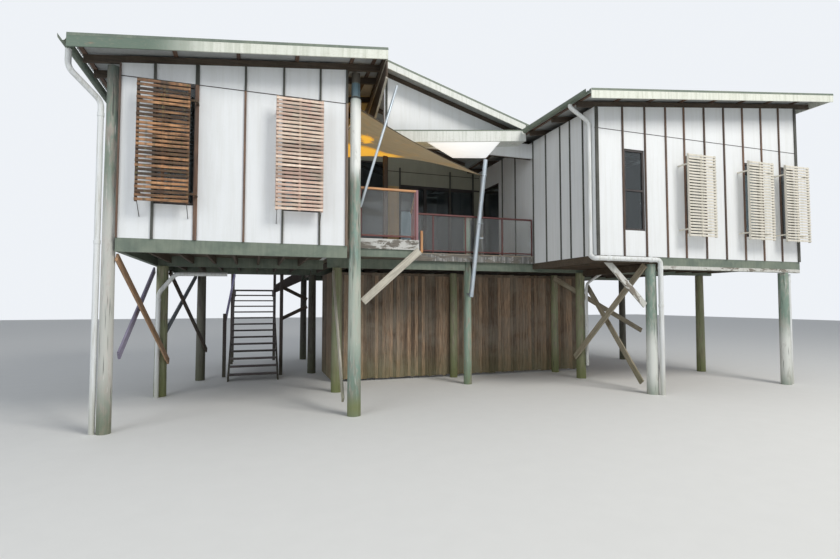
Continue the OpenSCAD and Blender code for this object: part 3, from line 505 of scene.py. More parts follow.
def make_cloth_group():
    """Plain weave, the product of two sines on a map in metres, with painted shade in soft
    wrinkles, from the shade colour to the cloth's own, and patches where light comes through."""
    tree, w, given, out = group(
        "shade_cloth", ("Colour", "Weave", "Height"), Vector=ORIGIN, Map=ORIGIN, Threads=900.0,
        Cloth=WHITE, Shade=BLACK, Glow=WHITE, Through=0.35)
    across, along = w.parts(given["Map"])[:2]
    weave = w.times(w.math("SINE", w.times(across, given["Threads"])),
                    w.math("SINE", w.times(along, given["Threads"])))
    weave = w.plus(w.times(weave, 0.5), 0.5)
    patches = w.ramp(w.noise(given["Vector"], 1.6, 3.0, 0.55, 0.4), 0.50, 0.72)
    wrinkles = w.noise(w.scaled(given["Map"], (0.9, 4.0, 1.0)), 3.0, 4.0, 0.6)
    # painted shade: soft wrinkles darken the cloth towards the shade colour
    colour = w.mix(wrinkles, given["Shade"], given["Cloth"])
    w.give(out, Colour=w.mix(w.times(patches, given["Through"]), colour, given["Glow"]),
           Weave=weave, Height=w.plus(w.times(weave, 0.15), wrinkles))
    return tree


GRAIN, WEATHER, AGEING = make_grain_group(), make_weather_group(), make_ageing_group()
STAINS, FLAKES, SECOND = make_stain_group(), make_flake_group(), make_second_paint_group()
SPECKED, WASHED, BAND = make_sheet_group(), make_log_group(), make_band_group()
CHECKS, DUST, CLOTH = make_check_group(), make_dust_group(), make_cloth_group()


# ------------------------------------------------------------ materials
def start_material(name):
    """Material with its own Principled shader; gives it, its wires, the shader's inputs and
    Object coordinates."""
    m = bpy.data.materials.new(name)
    m.use_nodes = True
    w = Wires(m.node_tree)
    coords = w.node("ShaderNodeTexCoord").outputs["Object"]
    return m, w, m.node_tree.nodes["Principled BSDF"].inputs, coords


def end_material(w, shader, colour, roughness, height, strength, distance):
    """Feeds the shader what every finish has: colour, roughness and a bump from a height."""
    bump = w.node("ShaderNodeBump", {"Height": height, "Strength": strength, "Distance": distance})
    w.give(shader, Base_Color=colour, Roughness=roughness, Normal=bump)


def grain_source(w, coords, axis):
    """Vector and tone for the grain: the piece's own map, or Object coordinates turned so that
    X is along the grain."""
    if axis == "uv":
        uv = w.node("ShaderNodeUVMap", uv_map="grain").outputs[0]
        return uv, w.node("ShaderNodeAttribute", attribute_name="tone").outputs["Fac"]
    turn = {"x": (0, 0, 0), "y": (0, 0, -math.pi / 2), "z": (0, math.pi / 2, 0)}[axis]
    return w.node("ShaderNodeMapping", {"Vector": coords, "Rotation": turn}).outputs[0], 0.5


def shade_of(colour, share):
    """The same colour, darker."""
    return tuple(c * share for c in colour)


# How far the grain is squeezed: along it, then across it both ways.
SAWN, PLY, SLAT = (1.2, 26, 26), (0.8, 7, 7), (1.6, 16, 16)


def timber(name, dark, light, grey, grey_share, moss=None, moss_share=0.0, axis="uv", rough=0.75,
           stretch=SAWN, bump=0.35, ground=0.4, spread=0.5):
    """Bare or oiled timber. Planed timber, with a low bump, has no dirt in its fibres."""
    m, w, shader, coords = start_material(name)
    v, tone = grain_source(w, coords, axis)
    grain = w.placed(GRAIN, Vector=v, Stretch=stretch, Tone=tone, Dark=dark, Light=light)
    weather = w.placed(WEATHER, Vector=coords, Scale=1.0)
    aged = w.placed(
        AGEING, Colour=grain["Colour"], Fibres=grain["Fibres"], Tone=tone,
        Spread=spread if axis == "uv" else 0.0, Blotches=weather["Blotches"],
        Runs=weather["Runs"], Specks=weather["Specks"], Ground=weather["Ground"], Grey=grey,
        Grey_share=grey_share, Moss=moss or grey, Moss_share=moss_share,
        Ground_share=ground if moss else 0.0, Fibre_share=0.35 if bump > 0.3 else 0.0)
    end_material(w, shader, aged["Colour"], w.blend(grain["Fibres"], rough - 0.1, rough + 0.12),
                 grain["Height"], bump, 0.006)
    return m


def painted_timber(name, paint, wood, bare, scale, stain=(0.25, 0.26, 0.2), stain_share=0.3,
                   axis="x", second=None):
    """Paint over timber, flaked to the wood where the flake mask says and stained in runs.
    second = (x where the second paint is full, x where it ends, its colour, its bare share)."""
    m, w, shader, coords = start_material(name)
    v, tone = grain_source(w, coords, axis)
    grain = w.placed(GRAIN, Vector=v, Stretch=SAWN, Tone=tone, Dark=shade_of(wood, 0.55),
                     Light=wood)
    weather = w.placed(WEATHER, Vector=coords, Scale=1.3)
    colour = w.placed(STAINS, Paint=paint, Stain=stain, Stain_mask=weather["Runs"],
                      Stain_share=stain_share, Wear_mask=weather["Blotches"],
                      Wear_share=stain_share * 0.5, Worn=0.8)["Colour"]
    if second:
        both = w.placed(SECOND, Vector=coords, Full=second[0], End=second[1], Colour=colour,
                        Second=second[2], Bare=bare, Second_bare=second[3])
        colour, bare = both["Colour"], both["Bare"]
    flakes = w.placed(FLAKES, Vector=w.scaled(v, (0.35, 1.0, 1.0)), Scale=scale, Bare=bare,
                      Paint=colour, Wood=wood, Under=grain["Colour"], Crack_share=0.25, Cover=1.0)
    height = w.plus(w.times(flakes["Height"], 0.6), w.times(grain["Height"], 0.4))
    end_material(w, shader, flakes["Colour"], w.blend(flakes["Bare"], 0.5, 0.85), height, 0.4,
                 0.003)
    return m


def wall_board(name, paint, stain, stain_share=0.16):
    """Painted wall sheets: nearly even colour, faint runs, blotches and a dimpled surface."""
    m, w, shader, coords = start_material(name)
    weather = w.placed(WEATHER, Vector=coords, Scale=0.9)
    stained = w.placed(STAINS, Paint=paint, Stain=stain, Stain_mask=weather["Runs"],
                       Stain_share=stain_share, Wear_mask=weather["Blotches"],
                       Wear_share=stain_share * 0.6, Worn=0.86)
    sheet = w.placed(SPECKED, Vector=coords, Colour=stained["Colour"], Stain=stain,
                     Specks=weather["Specks"], Share=stain_share * 0.35,
                     Blotches=weather["Blotches"])
    end_material(w, shader, sheet["Colour"], w.blend(weather["Blotches"], 0.49, 0.67),
                 sheet["Height"], 0.12, 0.002)
    return m


def panelled_board(name, paint, panel, stain, x0, x1, top):
    """Wall sheets of one colour, with another on the panel from x0 to x1, up to the height top.
    The panel's colour is partly its own paint and partly painted sunlight.
    """
    m, w, shader, coords = start_material(name)
    weather = w.placed(WEATHER, Vector=coords, Scale=0.9)
    x, _, z = w.parts(coords)
    inside = w.times(w.math("GREATER_THAN", x, x0), w.math("LESS_THAN", x, x1))
    inside = w.times(inside, w.math("LESS_THAN", z, top))
    dirt = w.times(w.plus(weather["Runs"], weather["Blotches"]), 0.18)
    colour = w.mix(dirt, w.mix(inside, paint, panel), stain)
    end_material(w, shader, colour, w.blend(weather["Blotches"], 0.5, 0.68),
                 weather["Blotches"], 0.12, 0.003)
    return m


def painted_steel(name, paint, rust_share, stain, stain_share, rust=(0.20, 0.09, 0.04), metal=0.0,
                  rough=0.45):
    """Painted or galvanised steel: dusty runs, small rust spots, slight waviness."""
    m, w, shader, coords = start_material(name)
    weather = w.placed(WEATHER, Vector=coords, Scale=1.6)
    stained = w.placed(STAINS, Paint=paint, Stain=stain, Stain_mask=weather["Blotches"],
                       Stain_share=stain_share, Wear_mask=weather["Runs"],
                       Wear_share=stain_share * 0.7, Worn=0.7)
    flakes = w.placed(FLAKES, Vector=coords, Scale=16.0, Bare=rust_share * 0.6,
                      Paint=stained["Colour"], Wood=rust, Under=rust, Crack_share=0.0,
                      Cover=0.8 if rust_share else 0.0)
    shader["Metallic"].default_value = metal
    height = w.plus(w.times(weather["Blotches"], 0.6), w.times(flakes["Height"], 0.3))
    end_material(w, shader, flakes["Colour"], w.blend(weather["Blotches"], rough, rough + 0.2),
                 height, 0.15, 0.004)
    return m


def log_material(name, wood, wash, moss, pale, wash_share=0.8, moss_share=0.5, pale_share=0.5,
                 bands=()):
    """Round pole. Each band is (lower height, upper height, colour, share, how far its ends
    fade)."""
    m, w, shader, coords = start_material(name)
    weather = w.placed(WEATHER, Vector=coords, Scale=1.9)
    skin = w.placed(WASHED, Vector=coords, Runs=weather["Runs"], Ground=weather["Ground"],
                    Wood=wood, Wash=wash, Moss=moss, Pale=pale, Wash_share=wash_share,
                    Moss_share=moss_share, Pale_share=pale_share)
    colour = skin["Colour"]
    for low, high, tint, share, soft in bands:
        colour = w.placed(BAND, Vector=coords, Colour=colour, Tint=tint, Low=low, High=high,
                          Soft=soft, Share=share, Patches=skin["Patches"])["Colour"]
    checked = w.placed(CHECKS, Vector=coords, Colour=colour, Streaks=skin["Streaks"])
    end_material(w, shader, checked["Colour"], w.blend(weather["Specks"], 0.7, 0.9),
                 checked["Height"], 0.55, 0.008)
    return m


def pane_material(name, tint, bend=1.5):
    """Window glass, smooth and slightly tinted, with faint dust. bend is its refractive index."""
    m, w, shader, coords = start_material(name)
    dust = w.placed(DUST, Vector=coords, Tint=tint)
    w.give(shader, Base_Color=dust["Colour"], Roughness=dust["Roughness"])
    shader["Transmission Weight"].default_value = 0.95
    shader["IOR"].default_value = bend
    return m


def cloth_material(name, cloth, glow, shade, through=0.35, edge=0.0, lit=0.0):
    """Shade cloth. Where edge is given, a wavering strip along two rims and a spot between
    them glow as the light comes through, and the hem is dark. lit is the strength of painted
    light that the cloth gives out, as light coming through it: white all over where edge is
    not given, else a dim copy of the cloth's colour with the strip and spot in the glow colour."""
    m, w, shader, coords = start_material(name)
    uv = w.node("ShaderNodeUVMap", uv_map="grain").outputs[0]
    woven = w.placed(CLOTH, Vector=coords, Map=uv, Threads=900.0, Cloth=cloth, Shade=shade,
                     Glow=glow, Through=through)
    colour = woven["Colour"]
    if edge:
        across, along, _ = w.parts(uv)
        waver = w.plus(along, w.times(w.noise(uv, 2.0), 0.3))
        strip = w.times(w.ramp(waver, 1.45, 1.65), w.ramp(across, 1.55, 1.95))
        spot = w.vector("DISTANCE", w.scaled(uv, (1.0, 0.6, 1.0)), (2.60, 0.55, 0), "Value")
        ragged = w.times(w.math("SUBTRACT", w.noise(uv, 6.0, 4.0, 0.6), 0.5), 0.45)
        spot = w.ramp(w.plus(spot, ragged), 0.17, 0.07)
        glowing = w.times(w.math("MAXIMUM", strip, spot), edge)
        colour = w.mix(glowing, colour, glow)
        hem = w.times(w.ramp(along, 0.05, 0.02), 0.8)
        colour = w.mix(hem, colour, shade_of(shade, 0.25))
        # painted light: the cloth gives out a dim copy of its colour, and its glow colour at the
        # strip and spot
        dim = w.mix(0.76, colour, (0, 0, 0))
        w.give(shader, Emission_Color=w.mix(glowing, dim, glow))
    # painted light: the whole cloth glows at strength lit, as light coming through it
    shader["Emission Strength"].default_value = lit
    shader["Sheen Weight"].default_value = 0.2
    end_material(w, shader, colour, w.blend(woven["Weave"], 0.77, 0.93), woven["Height"], 0.35,
                 0.01)
    return m


def plastic_material(name, colour, stain):
    """Pipe plastic: stained in runs and near the ground."""
    m, w, shader, coords = start_material(name)
    weather = w.placed(WEATHER, Vector=coords, Scale=2.2)
    base = w.mix(w.times(weather["Runs"], 0.45), colour, stain)
    base = w.mix(w.times(weather["Ground"], 0.6), base, stain)
    end_material(w, shader, base, w.blend(weather["Blotches"], 0.4, 0.6), weather["Blotches"],
                 0.08, 0.004)
    return m


MAT = {
    # poles
    "pole_timber": log_material("green_washed_log", (0.42, 0.40, 0.33), (0.24, 0.36, 0.29),
                                (0.12, 0.15, 0.05), (0.72, 0.71, 0.62)),
    "mossy_timber": log_material("mossy_log", (0.34, 0.31, 0.22), (0.26, 0.30, 0.17),
                                 (0.14, 0.16, 0.05), (0.50, 0.48, 0.34), 0.7, 0.8, 0.3),
    # The front pole's brown band from 5.98 to 6.4 m is painted shade under the roof.
    "front_log": log_material(
        "banded_front_log", (0.40, 0.40, 0.34), (0.20, 0.32, 0.27), (0.13, 0.14, 0.08),
        (0.70, 0.72, 0.66), 0.8, 0.6, 0.8,
        [(0, 0.3, (0.19, 0.21, 0.08), 0.8, 0.15), (4.3, 5.68, (0.86, 0.87, 0.83), 0.95, 0.2),
         (1.1, 2.6, (0.62, 0.63, 0.54), 0.5, 0.3), (5.69, 5.735, (0.03, 0.035, 0.035), 0.95, 0.01),
         (5.735, 5.98, (0.11, 0.18, 0.22), 0.9, 0.01),
         (5.98, 6.4, (0.09, 0.075, 0.06), 0.95, 0.02)]),
    "right_log": log_material(
        "green_and_white_right_log", (0.42, 0.44, 0.38), (0.17, 0.27, 0.22), (0.16, 0.17, 0.09),
        (0.74, 0.76, 0.72), 0.8, 0.3, 0.85, [(0.15, 1.35, (0.76, 0.77, 0.73), 0.85, 0.35)]),
    # Left pole: the pale band is painted sunlight, the dark band at its top painted shade under the
    # roof.
    "left_log": log_material(
        "mottled_left_log", (0.42, 0.38, 0.33), (0.18, 0.26, 0.21), (0.13, 0.14, 0.07),
        (0.76, 0.74, 0.70), 0.7, 0.5, 0.9,
        [(0.6, 3.6, (0.72, 0.70, 0.66), 0.6, 0.5), (5.2, 6.6, (0.08, 0.10, 0.09), 0.6, 0.4)]),
    "dark_log": log_material("dark_log", (0.13, 0.11, 0.10), (0.16, 0.17, 0.13),
                             (0.08, 0.09, 0.04), (0.28, 0.27, 0.24), 0.5, 0.6, 0.2),
    # framing, battens and floors
    "dark_timber": timber("dark_stained_timber", (0.045, 0.035, 0.035), (0.12, 0.09, 0.08),
                          (0.22, 0.2, 0.19), 0.35, (0.09, 0.10, 0.04), 0.3, axis="y"),
    "brown_timber": timber("brown_framing", (0.035, 0.025, 0.018), (0.10, 0.07, 0.045),
                           (0.14, 0.12, 0.10), 0.35, axis="x"),
    "joist_timber": timber("dark_joists", (0.04, 0.028, 0.018), (0.12, 0.085, 0.055),
                           (0.15, 0.13, 0.10), 0.35, axis="x"),
    "batten": timber("brown_batten", (0.07, 0.035, 0.022), (0.24, 0.14, 0.09),
                     (0.12, 0.10, 0.09), 0.7, spread=0.45),
    "corner_batten": timber("beige_corner_batten", (0.20, 0.13, 0.09), (0.44, 0.34, 0.26),
                            (0.14, 0.11, 0.09), 0.7, spread=0.2),
    "dark_batten": timber("dark_corner_batten", (0.03, 0.035, 0.03), (0.10, 0.10, 0.085),
                          (0.2, 0.2, 0.18), 0.4, spread=0.3),
    "post_timber": timber("dark_gable_post", (0.03, 0.02, 0.015), (0.09, 0.055, 0.04),
                          (0.10, 0.09, 0.08), 0.3, axis="z"),
    "dark_ply": timber("dark_ply", (0.06, 0.045, 0.03), (0.16, 0.12, 0.08),
                       (0.2, 0.18, 0.15), 0.3, axis="x", stretch=PLY),
    "floor_timber": timber("orange_ply", (0.32, 0.17, 0.07), (0.52, 0.31, 0.14),
                           (0.36, 0.30, 0.22), 0.3, axis="x", stretch=PLY),
    "deck_timber": timber("deck_boards", (0.25, 0.19, 0.13), (0.48, 0.40, 0.30),
                          (0.42, 0.41, 0.38), 0.7, spread=0.3),
    "tread": timber("dark_treads", (0.05, 0.04, 0.04), (0.15, 0.12, 0.11),
                    (0.25, 0.23, 0.22), 0.4, spread=0.3),
    # walls
    "lining": wall_board("grey_roof_lining", (0.42, 0.44, 0.44), (0.30, 0.30, 0.27), 0.3),
    "white_board": wall_board("white_wall_sheet", (0.80, 0.82, 0.83), (0.55, 0.55, 0.50)),
    "beige_board": wall_board("beige_wall_sheet", (0.46, 0.43, 0.36), (0.30, 0.28, 0.24), 0.3),
    # the tan panel from x 2.05 to 2.45 is partly its own paint and partly painted sunlight
    "door_panels": panelled_board("deck_wall_panels", (0.34, 0.34, 0.27), (0.62, 0.42, 0.20),
                                  (0.24, 0.24, 0.18), 2.05, 2.45, 5.5),
    # glass
    "glass": pane_material("window_pane", (0.30, 0.36, 0.38)),
    "clear_glass": pane_material("railing_pane", (0.93, 0.95, 0.95), 1.2),
    # screens
    "brown_slats": timber("weathered_brown_slats", (0.14, 0.055, 0.022), (0.72, 0.38, 0.18),
                          (0.05, 0.04, 0.035), 0.9, (0.36, 0.35, 0.10), 0.8, spread=0.8,
                          ground=0.0, stretch=SLAT),
    "pale_slats": timber("weathered_pale_slats", (0.46, 0.32, 0.24), (0.84, 0.74, 0.60),
                         (0.62, 0.36, 0.30), 0.6, spread=0.4, bump=0.25, stretch=SLAT),
    "white_slats": painted_timber("white_slats_paint", (0.74, 0.70, 0.61), (0.5, 0.42, 0.3),
                                  0.12, 9.0, axis="uv"),
    # painted edges
    "white_paint": painted_timber("old_white_paint", (0.74, 0.76, 0.72), (0.36, 0.31, 0.24),
                                  0.14, 3.5, (0.42, 0.46, 0.38), 0.45),
    "fascia_paint": painted_timber(
        "green_and_white_fascia", (0.74, 0.76, 0.68), (0.36, 0.31, 0.24), 0.14, 3.5,
        (0.40, 0.44, 0.34), 0.45, second=(-3.3, -2.2, (0.12, 0.17, 0.13), 0.42)),
    "worn_paint": painted_timber(
        "peeling_deck_edge_paint", (0.12, 0.12, 0.115), (0.22, 0.20, 0.17), 0.6, 6.0,
        (0.55, 0.55, 0.52), 0.8, second=(1.35, 1.9, (0.52, 0.52, 0.49), 0.55)),
    "strut_paint": painted_timber("peeling_grey_strut", (0.62, 0.62, 0.58), (0.27, 0.24, 0.20),
                                  0.5, 7.0, (0.3, 0.3, 0.26), 0.4, axis="uv"),
    "purple_paint": painted_timber("purple_rail_paint", (0.17, 0.14, 0.33), (0.25, 0.2, 0.2),
                                   0.1, 6.0, (0.3, 0.27, 0.42), 0.3, axis="y"),
    "mauve_post": painted_timber("mauve_corner_post", (0.26, 0.13, 0.15), (0.20, 0.12, 0.10),
                                 0.15, 6.0, (0.35, 0.24, 0.24), 0.3, axis="uv"),
    # braces, rails and palings
    "olive_brace": timber("olive_brace", (0.24, 0.20, 0.13), (0.58, 0.50, 0.36),
                          (0.46, 0.44, 0.36), 0.5, (0.18, 0.19, 0.08), 0.5, spread=0.3),
    "orange_brace": timber("orange_brown_brace", (0.34, 0.17, 0.08), (0.68, 0.42, 0.24),
                           (0.45, 0.38, 0.3), 0.4, spread=0.2),
    "lavender_brace": timber("lavender_brace", (0.20, 0.18, 0.30), (0.42, 0.38, 0.52),
                             (0.36, 0.34, 0.36), 0.4, spread=0.2),
    "blue_brace": timber("blue_grey_brace", (0.12, 0.15, 0.19), (0.28, 0.32, 0.37),
                         (0.3, 0.3, 0.28), 0.4, spread=0.2),
    "brown_brace": timber("dark_brown_brace", (0.04, 0.028, 0.02), (0.14, 0.095, 0.065),
                          (0.15, 0.14, 0.12), 0.4, spread=0.3),
    "pale_timber": timber("lichen_grey_timber", (0.30, 0.27, 0.22), (0.60, 0.56, 0.47),
                          (0.66, 0.64, 0.55), 0.6, (0.25, 0.27, 0.12), 0.5, spread=0.4),
    "rail_timber": timber("orange_oiled_rail", (0.30, 0.12, 0.05), (0.58, 0.30, 0.12),
                          (0.40, 0.33, 0.25), 0.35, rough=0.5, bump=0.2),
    "paling_timber": timber("brown_palings", (0.12, 0.075, 0.045), (0.46, 0.31, 0.20),
                            (0.36, 0.32, 0.26), 0.6, (0.20, 0.21, 0.08), 0.6, spread=0.6),
    # steel and plastic
    "green_steel": painted_steel("dark_green_steel", (0.13, 0.165, 0.13), 0.12,
                                 (0.28, 0.31, 0.24), 0.45),
    "dark_frame": painted_steel("dark_frame_paint", (0.035, 0.030, 0.030), 0.0,
                                (0.12, 0.10, 0.09), 0.3, rough=0.4),
    "roof_sheet": painted_steel("roof_steel", (0.56, 0.59, 0.59), 0.1, (0.42, 0.42, 0.36), 0.4,
                                metal=0.35, rough=0.38),
    "rail_steel": painted_steel("red_brown_steel", (0.125, 0.035, 0.035), 0.15,
                                (0.22, 0.12, 0.10), 0.35),
    "galvanised": painted_steel("galvanised_steel", (0.46, 0.53, 0.59), 0.1,
                                (0.66, 0.68, 0.69), 0.5, (0.36, 0.30, 0.24), 0.6, 0.42),
    "plastic_pipe": plastic_material("pale_plastic_pipe", (0.74, 0.76, 0.76), (0.42, 0.42, 0.34)),
    # sails
    # The glow colours and lit strengths of the two sails are painted light coming through the
    # cloth.
    "tan_cloth": cloth_material("tan_shade_cloth", (0.56, 0.44, 0.26), (0.90, 0.46, 0.04),
                                (0.36, 0.28, 0.16), through=0.2, edge=0.95, lit=0.85),
    "white_cloth": cloth_material("white_shade_cloth", (0.86, 0.86, 0.84), (0.95, 0.95, 0.92),
                                  (0.74, 0.75, 0.74), lit=0.55),
    "hem_cloth": cloth_material("brown_hem_webbing", (0.14, 0.10, 0.06), (0.3, 0.2, 0.1),
                                (0.08, 0.06, 0.04)),
}
CAD_LOOK = {
    "left_wing_beams": "green_steel", "deck_beams": "green_steel",
    "right_wing_beams": "green_steel", "floor_joists": "joist_timber",
    "left_wing_floor": "dark_ply", "right_wing_floor": "floor_timber", "main_floor": "dark_ply",
    "door_wall": "door_panels", "gable_post": "post_timber", "window_frames": "dark_frame",
    "window_glass": "glass", "door_frames": "dark_frame", "door_glass": "glass",
    "wing_rafters": "brown_timber", "main_rafters": "brown_timber",
    "wing_fascias": "fascia_paint", "main_fascia": "white_paint", "porch_hood": "white_paint",
    "deck_fascia": "worn_paint", "rail_glass": "clear_glass", "stair_frame": "dark_timber",
    "stair_rail": "purple_paint",
}
for name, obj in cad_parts.items():
    for slot in obj.material_slots:
        slot.material = MAT[CAD_LOOK.get(name, "white_board")]


# ------------------------------------------------------------ poles
def log(x, y, top, heights, radii, rings=40, sides=36):
    """Radius as a function of angle and height: the taper, less slow ripples and narrow
    upright checks."""
    z = np.linspace(0, top, rings)[:, None]
    a = (np.arange(sides) * 2 * np.pi / sides)[None]
    ripple = np.zeros((rings, sides))
    for k in (2, 3, 5, 8):
        phase = rng.random() * 6.28 + np.sin(z * rng.uniform(0.6, 1.8)) * rng.uniform(0.3, 1.2)
        ripple += (1 + np.cos(k * a + phase)) * 0.0022 / k ** 0.5
    for _ in range(5):
        where, low = rng.random() * 6.28, rng.uniform(0, top * 0.6)
        high = rng.uniform(top * 0.3, top)
        turn = np.angle(np.exp(1j * (a - where - 0.06 * np.sin(2 * z))))
        along = np.clip((z - low) * 3, 0, 1) * np.clip((high - z) * 3, 0, 1)
        ripple += np.exp(-(turn / 0.05) ** 2) * along * 0.007
    r = np.interp(z, heights, radii) - ripple
    points = np.stack([x + r * np.cos(a), y + r * np.sin(a), np.broadcast_to(z, r.shape)], -1)
    uv = np.stack(np.broadcast_arrays(z, a * 0.12), -1)
    return shape(points, tube_faces(rings, sides), uv)


under = BEAM - 0.001
to_beam, thick, medium, slim = [0, 2.8], [0.1275, 0.12], [0.1225, 0.1075], [0.1075, 0.1]
front_logs = [log(6.64, 0, 2.845, [0, 2.845], [0.13, 0.1125], 50, 48),
              log(10.72, 0, 2.727, [0, 2.727], [0.12, 0.1125])]
corner_log = log(0.02, 0, left_top(-0.08) - 0.004, [0, 2.8, 4.0, 5.70, 5.73, 6.2],
                 [0.125, 0.111, 0.0985, 0.0985, 0.084, 0.084], 90, 48)
left_log = log(-3.84, 0, left_top(-3.96) - 0.004, [0, 5.7], [0.1075, 0.09], 60)
carport_logs = [log(-3.56, 3.1, under, to_beam, thick), log(0.092, 2.45, under, to_beam, medium),
                log(6.59, 2.45, under, to_beam, thick),
                log(10.72, 2.45, under, to_beam, medium, 24, 24),
                log(3.44, 3.68, under, to_beam, slim),
                log(6.6, 3.68, under, to_beam, slim, 24, 24)]
deck_log = log(3.34, 2.53, 4.15, [0, 4.15], [0.105, 0.09], 60)
collar = board((3.34, 2.434, 4.05), (3.34, 2.434, 4.12), 0.15, 0.012, ALONG_X, 0.002)
back_logs = [log(-2.97, 5.24, 2.845, [0, 2.845], medium), log(-0.1, 5.7, under, to_beam, medium)]
back_logs += [log(x, y, under, to_beam, medium, 24, 24)
              for x, y in ((3.34, 5.7), (6.64, 5.7), (10.72, 5.7), (0, 9.3), (3.34, 9.3),
                           (6.64, 9.3), (10.72, 9.3))]
piece("front_pole_logs", front_logs, "right_log", ["front_poles"], smooth=60)
piece("corner_pole_log", [corner_log], "front_log", smooth=60)
piece("left_pole_log", [left_log], "left_log", smooth=60)
piece("deck_pole_log", [deck_log], "pole_timber", smooth=60)
piece("deck_pole_collar", [collar], "beige_board")
piece("carport_pole_logs", carport_logs, "mossy_timber", ["carport_poles"],
      smooth=60)
piece("back_pole_logs", back_logs, "dark_log", ["back_poles"], smooth=60)


# ------------------------------------------------------------ walls: battens and joint strips
def upright(x, y, z0, z1, wide, proud, out=TO_FRONT, tone=None):
    """Cover batten on a wall face: its width along the wall, its depth standing out from it."""
    out = np.asarray(out, float)
    centre = np.array([x, y, 0.0]) + out * proud / 2
    side = np.cross(out, UP)
    return board(centre + (0, 0, z0), centre + (0, 0, z1), wide, proud, side, 0.003, tone=tone)


def joint_strip(start, length, z, tall=0.014, proud=0.006, out=TO_FRONT):
    """Thin level strip over the joint between two rows of sheets."""
    out = np.asarray(out, float)
    a = np.array([*start, z]) + out * proud / 2
    return board(a, a + length * np.abs(np.cross(out, UP)), tall, proud, UP, 0.002)


SILL, LINTEL = 3.86, HEAD + 0.04


def lengths(top, windows, at, over_window=None):
    """Heights of a far wall's batten: from the floor to top, broken where a window is."""
    if any(a < at < b for a, b in windows):
        return [(FLOOR, SILL), (LINTEL, over_window or top)]
    return [(FLOOR, top)]


def back_top(x):
    """Top of the long back wall, under the link, the middle and the right wing's roof."""
    if x < CLERE_X:
        return left_top(x)
    return main_top(x) if x < 4.64 else 6.085 if x < RIGHT_X0 else right_top(x)


# Battens stop this far under the roof; the width and depth of those away from the front.
UNDER_ROOF, FAR_SIZE, PROUD = 0.01, (0.045, 0.026), 0.026
battens, dark_battens = [], []
for x, wide, kind in [(-3.23, 0.04, dark_battens), (-2.61, 0.06, battens),
                      (-1.87, 0.035, battens), (-1.25, 0.033, dark_battens),
                      (-0.63, 0.033, dark_battens)]:
    kind.append(upright(x, FRONT, FLOOR, HEAD, wide, PROUD, tone=0.9))
    dark_battens.append(upright(x, FRONT, HEAD + 0.002, left_top(x) - UNDER_ROOF, wide, PROUD))
battens.append(upright(-3.716, FRONT, FLOOR, left_top(-3.72) - UNDER_ROOF, 0.028, 0.028, tone=0.6))
corner_battens = [upright(-0.162, FRONT, FLOOR, HEAD, 0.04, 0.03, tone=0.8),
                  upright(-0.155, FRONT - 0.031, FLOOR, HEAD, 0.03, 0.012, tone=0.3)]
dark_battens.append(upright(-0.162, FRONT, HEAD + 0.002, left_top(-0.18) - UNDER_ROOF, 0.04, 0.03))
for x in (5.84, 6.44, 7.02, 7.55, 8.15, 8.75, 9.35, 9.95, 10.55):
    battens.append(upright(x, FRONT, FLOOR, right_top(x) - UNDER_ROOF, 0.04, PROUD))
for x in (5.165, 11.12):
    dark_battens.append(upright(x, FRONT, FLOOR, right_top(x) - UNDER_ROOF, 0.075, 0.028))
for y in (4.0, 3.25, 2.32, 1.73, 1.125, 0.74, 0.27):
    dark_battens.append(upright(RIGHT_X0, y, FLOOR, right_top(RIGHT_X0) - UNDER_ROOF, 0.038,
                                0.022, TO_LEFT))
deck_side_top, left_side_top = left_top(LEFT_X1 - 0.1) - UNDER_ROOF, left_top(LEFT_X0)
for y in np.arange(0.6, 5.8, 0.6):
    if not 3.85 < y < 4.85:
        battens.append(upright(LEFT_X1, y, DECK + 0.01, deck_side_top, 0.04, 0.022, TO_RIGHT))
    for z0, z1 in lengths(left_side_top - UNDER_ROOF, ((1.2, 2.4), (3.6, 4.8)), y, left_side_top):
        battens.append(upright(LEFT_X0, y, z0, z1, *FAR_SIZE, TO_LEFT))
for x in np.arange(-3.7, -0.1, 0.5857):
    for z0, z1 in lengths(left_top(x) - UNDER_ROOF, ((-3.23, -2.61), (-1.25, -0.63)), x):
        battens.append(upright(x, LEFT_BACK, z0, z1, *FAR_SIZE, TO_BACK))
for x in np.arange(-0.1, 11.16, 0.6):
    for z0, z1 in lengths(back_top(x) - UNDER_ROOF,
                          ((0.6, 1.8), (3.0, 4.2), (5.9, 7.1), (8.5, 9.7)), x):
        battens.append(upright(x, BACK, z0, z1, *FAR_SIZE, TO_BACK))
for y in np.arange(0.0, 9.4, 0.6):
    for z0, z1 in lengths(right_top(RIGHT_X1 - 0.1) - UNDER_ROOF,
                          ((0.9, 2.1), (4.0, 5.2), (7.0, 8.2)), y):
        battens.append(upright(RIGHT_X1, y, z0, z1, *FAR_SIZE, TO_RIGHT))
for x, z1 in ((2.45, 6.07), (4.08, 6.07), (4.86, 6.07), (2.05, 6.9)):
    dark_battens.append(upright(x, DOOR_WALL, 3.19, z1, 0.05, 0.022))
dark_battens.append(upright(1.20, DECK_FRONT, 5.73, main_top(1.24) - UNDER_ROOF, 0.05, 0.02))
strips = [
    joint_strip((LEFT_X0, FRONT), LEFT_X1 - LEFT_X0, HEAD + 0.007),
    joint_strip((RIGHT_X0, FRONT), RIGHT_X1 - RIGHT_X0, 5.72),
    joint_strip((LEFT_X0, 0), 5.78, HEAD + 0.02, out=TO_LEFT),
    joint_strip((RIGHT_X1, 0), 9.38, HEAD + 0.02, out=TO_RIGHT),
    joint_strip((2.06, DOOR_WALL), 3.02, 5.95, tall=0.02),
    joint_strip((2.46, DOOR_WALL), 2.62, 5.53, tall=0.05, proud=0.012),
]
piece("cover_battens", battens, "batten")
piece("corner_battens", corner_battens, "corner_batten")
piece("dark_battens", dark_battens, "dark_batten")
piece("joint_strips", strips, "dark_frame")


